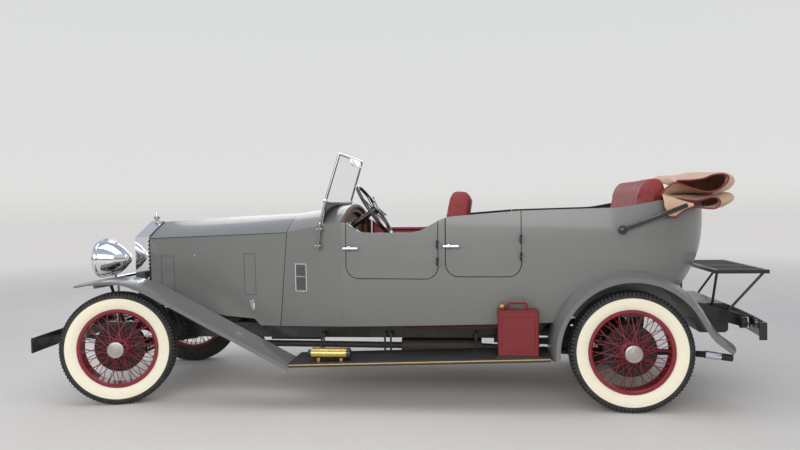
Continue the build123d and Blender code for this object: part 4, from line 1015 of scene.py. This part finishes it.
def hood_spot(share, across):
    """A place on the folded canvas: share along its bights, across the car from -1 to 1."""
    index = min(int(share * hood_steps), hood_steps - 1)
    part = share * hood_steps - index
    edge = edge_path[index].lerp(edge_path[index + 1], part)
    middle = middle_path[index].lerp(middle_path[index + 1], part)
    level_share = 0.62
    out = min(1.0, max(0.0, (abs(across) - level_share) / (1 - level_share)))
    spot = middle.lerp(edge, out * out * (3 - 2 * out))
    calm = 1 - out * 0.85
    sway = 0.01 * math.sin(across * 9.0 + share * 5.0) + 0.005 * math.sin(across * 23.0 - share * 17.0)
    lift = 0.005 * math.sin(across * 7.0 + share * 31.0) + 0.003 * math.sin(across * 17.0 + share * 11.0)
    half = hood_half - 0.006 * math.sin(share * 14.0)
    return Vector((spot.x + sway * calm, across * half, spot.z + lift * calm))


hood = bmesh.new()
bmesh.ops.create_grid(hood, x_segments=hood_steps, y_segments=96, size=1.0)
for corner in hood.verts:
    corner.co = hood_spot(corner.co.x / 2 + 0.5, corner.co.y)
hood = settle("hood_canvas", hood, canvas, sharp=180)
thicken(hood, 0.0025)
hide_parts("folded_hood")
flap_columns = [
    (0.0, 3868, 1462, 3881, 1372), (0.2, 3905, 1448, 3901, 1309), (0.45, 3950, 1434, 3952, 1306),
    (0.7, 4000, 1416, 3996, 1342), (1.0, 4072, 1394, 4064, 1374)]
for name, side in sides:
    spots = [hood_spot(step / 220, side) for step in range(221)]
    tube(f"hood_piping_{name}", spots, 0.0056, bound_red)
    flap = bmesh.new()
    bmesh.ops.create_grid(flap, x_segments=28, y_segments=12, size=1.0)
    hem = []
    for corner in sorted(flap.verts, key=lambda corner: corner.co.x):
        share, drop = corner.co.x / 2 + 0.5, 0.5 - corner.co.y / 2
        started = [pair for pair in zip(flap_columns, flap_columns[1:]) if pair[0][0] <= share + 1e-6]
        first, second = started[-1]
        part = (share - first[0]) / (second[0] - first[0])
        part = part * part * (3 - 2 * part)
        top_back, top_z, low_back, low_z = (a + (b - a) * part for a, b in zip(first[1:], second[1:]))
        ripple = 0.004 * math.sin(share * 13.0) * drop
        corner.co = at(top_back + (low_back - top_back) * drop,
                       side * (hood_half + 0.003 + 0.006 * math.sin(drop * math.pi) + ripple),
                       (top_z + (low_z - top_z) * drop) / 1000)
        if drop > 0.999:
            hem.append(corner.co.copy())
    flap = settle(f"hood_flap_{name}", flap, canvas, sharp=180)
    thicken(flap, 0.0025)
    tube(f"hood_hem_{name}", hem, 0.0056, bound_red)

# Hood irons. Flat black bars that swing on a round boss at each side of the body.
for name, side in sides:
    iron = bmesh.new()
    pivot, far = at(3599, side * 0.731, 1.225), at(4018, side * 0.731, 1.386)
    run = far - pivot
    add_slab(iron, (pivot + far) / 2, (run.length / 2, 0.006, 0.015), 0.0025,
             Matrix.Rotation(math.atan2(run.z, -run.x), 3, "Y"))
    add_turned(iron, [(0, -32), (20, -32), (24, -20), (29, -10), (31, 2), (26, 16),
                      (14, 24), (0, 26)], facing_place(pivot, (0, side, 0)), 32)
    settle(f"iron_bar_{name}", iron, hard_black)

# Fuel can. A flat pressed can in signal red with a raised panel, a brass cap and a wire bail,
# standing in a black tray on the left running board.
can_red = finish("can_red")
chips = can_red.noise(34.0, detail=6.0)
can_colour = can_red.mix(chips.between(0.62, 0.72) * 0.5, (0.18, 0.006, 0.01), (0.08, 0.014, 0.014))
above_tray = can_red.measure("Z").between(0.3915, 0.3925)
can_red.look(Base_Color=can_red.mix(above_tray, (0.012, 0.012, 0.012), can_colour),
             Roughness=chips * 0.2 + 0.38, Coat_Weight=0.12)
can_red.grain(5.0, 0.002, 0.5, detail=2.0)
dress("fuel_can", can_red)
panel = bmesh.new()
corners = [at(back, 0.8425, height) for back, height in (
    (2782, 0.425), (2782, 0.655), (3005, 0.655), (3005, 0.425))]
add_cord(panel, corners + corners[:1], 0.0032, 8)
for corner in corners:
    bmesh.ops.create_icosphere(panel, subdivisions=2, radius=0.0032, matrix=Matrix.Translation(corner))
for height in (0.399, 0.688):
    add_bar(panel, at(2766, 0.8415, height), at(3022, 0.8415, height), 0.004, 8)
settle("can_pressing", panel, can_red)
brass = finish("polished_brass")
tarnish = brass.noise(12.0, detail=5.0)
brass.look(Base_Color=brass.mix(tarnish, (0.72, 0.52, 0.17), (0.5, 0.34, 0.11)), Metallic=1.0,
           Roughness=tarnish * 0.2 + 0.16)
brass.bump(brass.measure("X").wave(0.003), 0.0001)
cap = bmesh.new()
add_turned(cap, [(0, 30), (20, 30), (24.5, 26), (24.5, 4), (22, 0), (0, 0)],
           Matrix.Translation(at(2791, 0.778, 0.701)), 28)
settle("can_cap", cap, brass)

# Extinguisher. A brass pump body between black end caps, clipped along the board.
def pump_place(back, way):
    """A place on the pump's axis that faces forward or back."""
    return facing_place(at(back, 0.79, 0.39), (way, 0, 0))


dress("extinguisher", brass)
ends, bands = bmesh.new(), bmesh.new()
add_turned(ends, [(0, -8), (22, -8), (26.5, 0), (26.5, 20), (0, 20)],
           pump_place(1452, -1), 28)
add_turned(ends, [(0, 0), (39.5, 0), (39.5, 20), (34, 27), (18, 30), (12, 36),
                  (0, 36)], pump_place(1716, -1), 28)
for back in (1480, 1494, 1700, 1520, 1680):
    add_turned(bands, [(38, -5), (40, -4), (41, 0), (40, 4), (38, 5)],
               pump_place(back, 1), 32)
settle("extinguisher_ends", ends, hard_black)
settle("extinguisher_bands", bands, brass)

# Head lamps. Deep plated bowls behind ribbed lens glass in a round rim, on a plated bar.
dress("headlamps", plating)
lens = finish("ribbed_lens")
lens.look(Base_Color=(0.8, 0.83, 0.84), Roughness=lens.noise(5.0) * 0.04 + 0.05, Metallic=0.35,
          Coat_Weight=1.0, Coat_Roughness=0.02)
lens.bump(lens.measure("Y").wave(0.011), 0.0016)
glasses, rims = bmesh.new(), bmesh.new()
for side in (1, -1):
    lamp_place = facing_place(at(-288, side * 0.42, 1.034), (1, 0, 0))
    add_turned(glasses, [(134, -18), (120, -10), (85, 0), (45, 6), (0, 8)],
               lamp_place, 48)
    add_turned(rims, [(132, -20), (136, -10), (142.5, -8), (145.5, -20), (145.5, -34),
                      (141.5, -40)], lamp_place, 64)
    bulge = Matrix.Rotation(math.radians(-9), 4, "Y") @ Matrix.Diagonal((0.066, 0.026, 0.026, 1.0))
    bmesh.ops.create_uvsphere(rims, u_segments=24, v_segments=14, radius=1.0,
                              matrix=Matrix.Translation(at(-208, side * 0.42, 1.164)) @ bulge)
settle("lamp_lenses", glasses, lens)
settle("lamp_rims", rims, plating)

# Bumpers. Spring steel blades, plated on their outward face and black on the inner one.
blade = finish("bumper_blade")
in_front = blade.measure("X").between(-0.1, 0.1)
away = blade.facing()[0] * (in_front * 2.0 - 1.0)
shown = away.between(0.4, 0.6)
blade.look(Base_Color=blade.mix(shown, (0.012, 0.012, 0.012), (0.78, 0.79, 0.81)), Metallic=shown,
           Roughness=0.26 - shown * 0.18, Coat_Weight=0.3)
blade.grain(160.0, 0.0001)
dress("front_bumper rear_bumper", blade)

# Tail lamps. Small drums with a red glass in a plated rim.
ruby = finish("ruby_glass")
ruby.look(Base_Color=(0.42, 0.01, 0.01), Roughness=ruby.noise(8.0) * 0.05 + 0.08, Coat_Weight=1.0)
ruby.bump(ruby.measure("Y").wave(0.006), 0.0006)
reds, bright = bmesh.new(), bmesh.new()
for side in (1, -1):
    lamp_place = facing_place(at(4490, side * 0.47, 0.56), (-1, 0, 0))
    add_turned(reds, [(31, 0), (26, 6), (13, 10), (0, 11)], lamp_place, 32)
    add_turned(bright, [(30, 0), (31, 5), (36, 6), (39.5, 0), (39.5, -10), (38, -12)],
               lamp_place, 40)
settle("tail_glasses", reds, ruby)
settle("tail_rims", bright, plating)
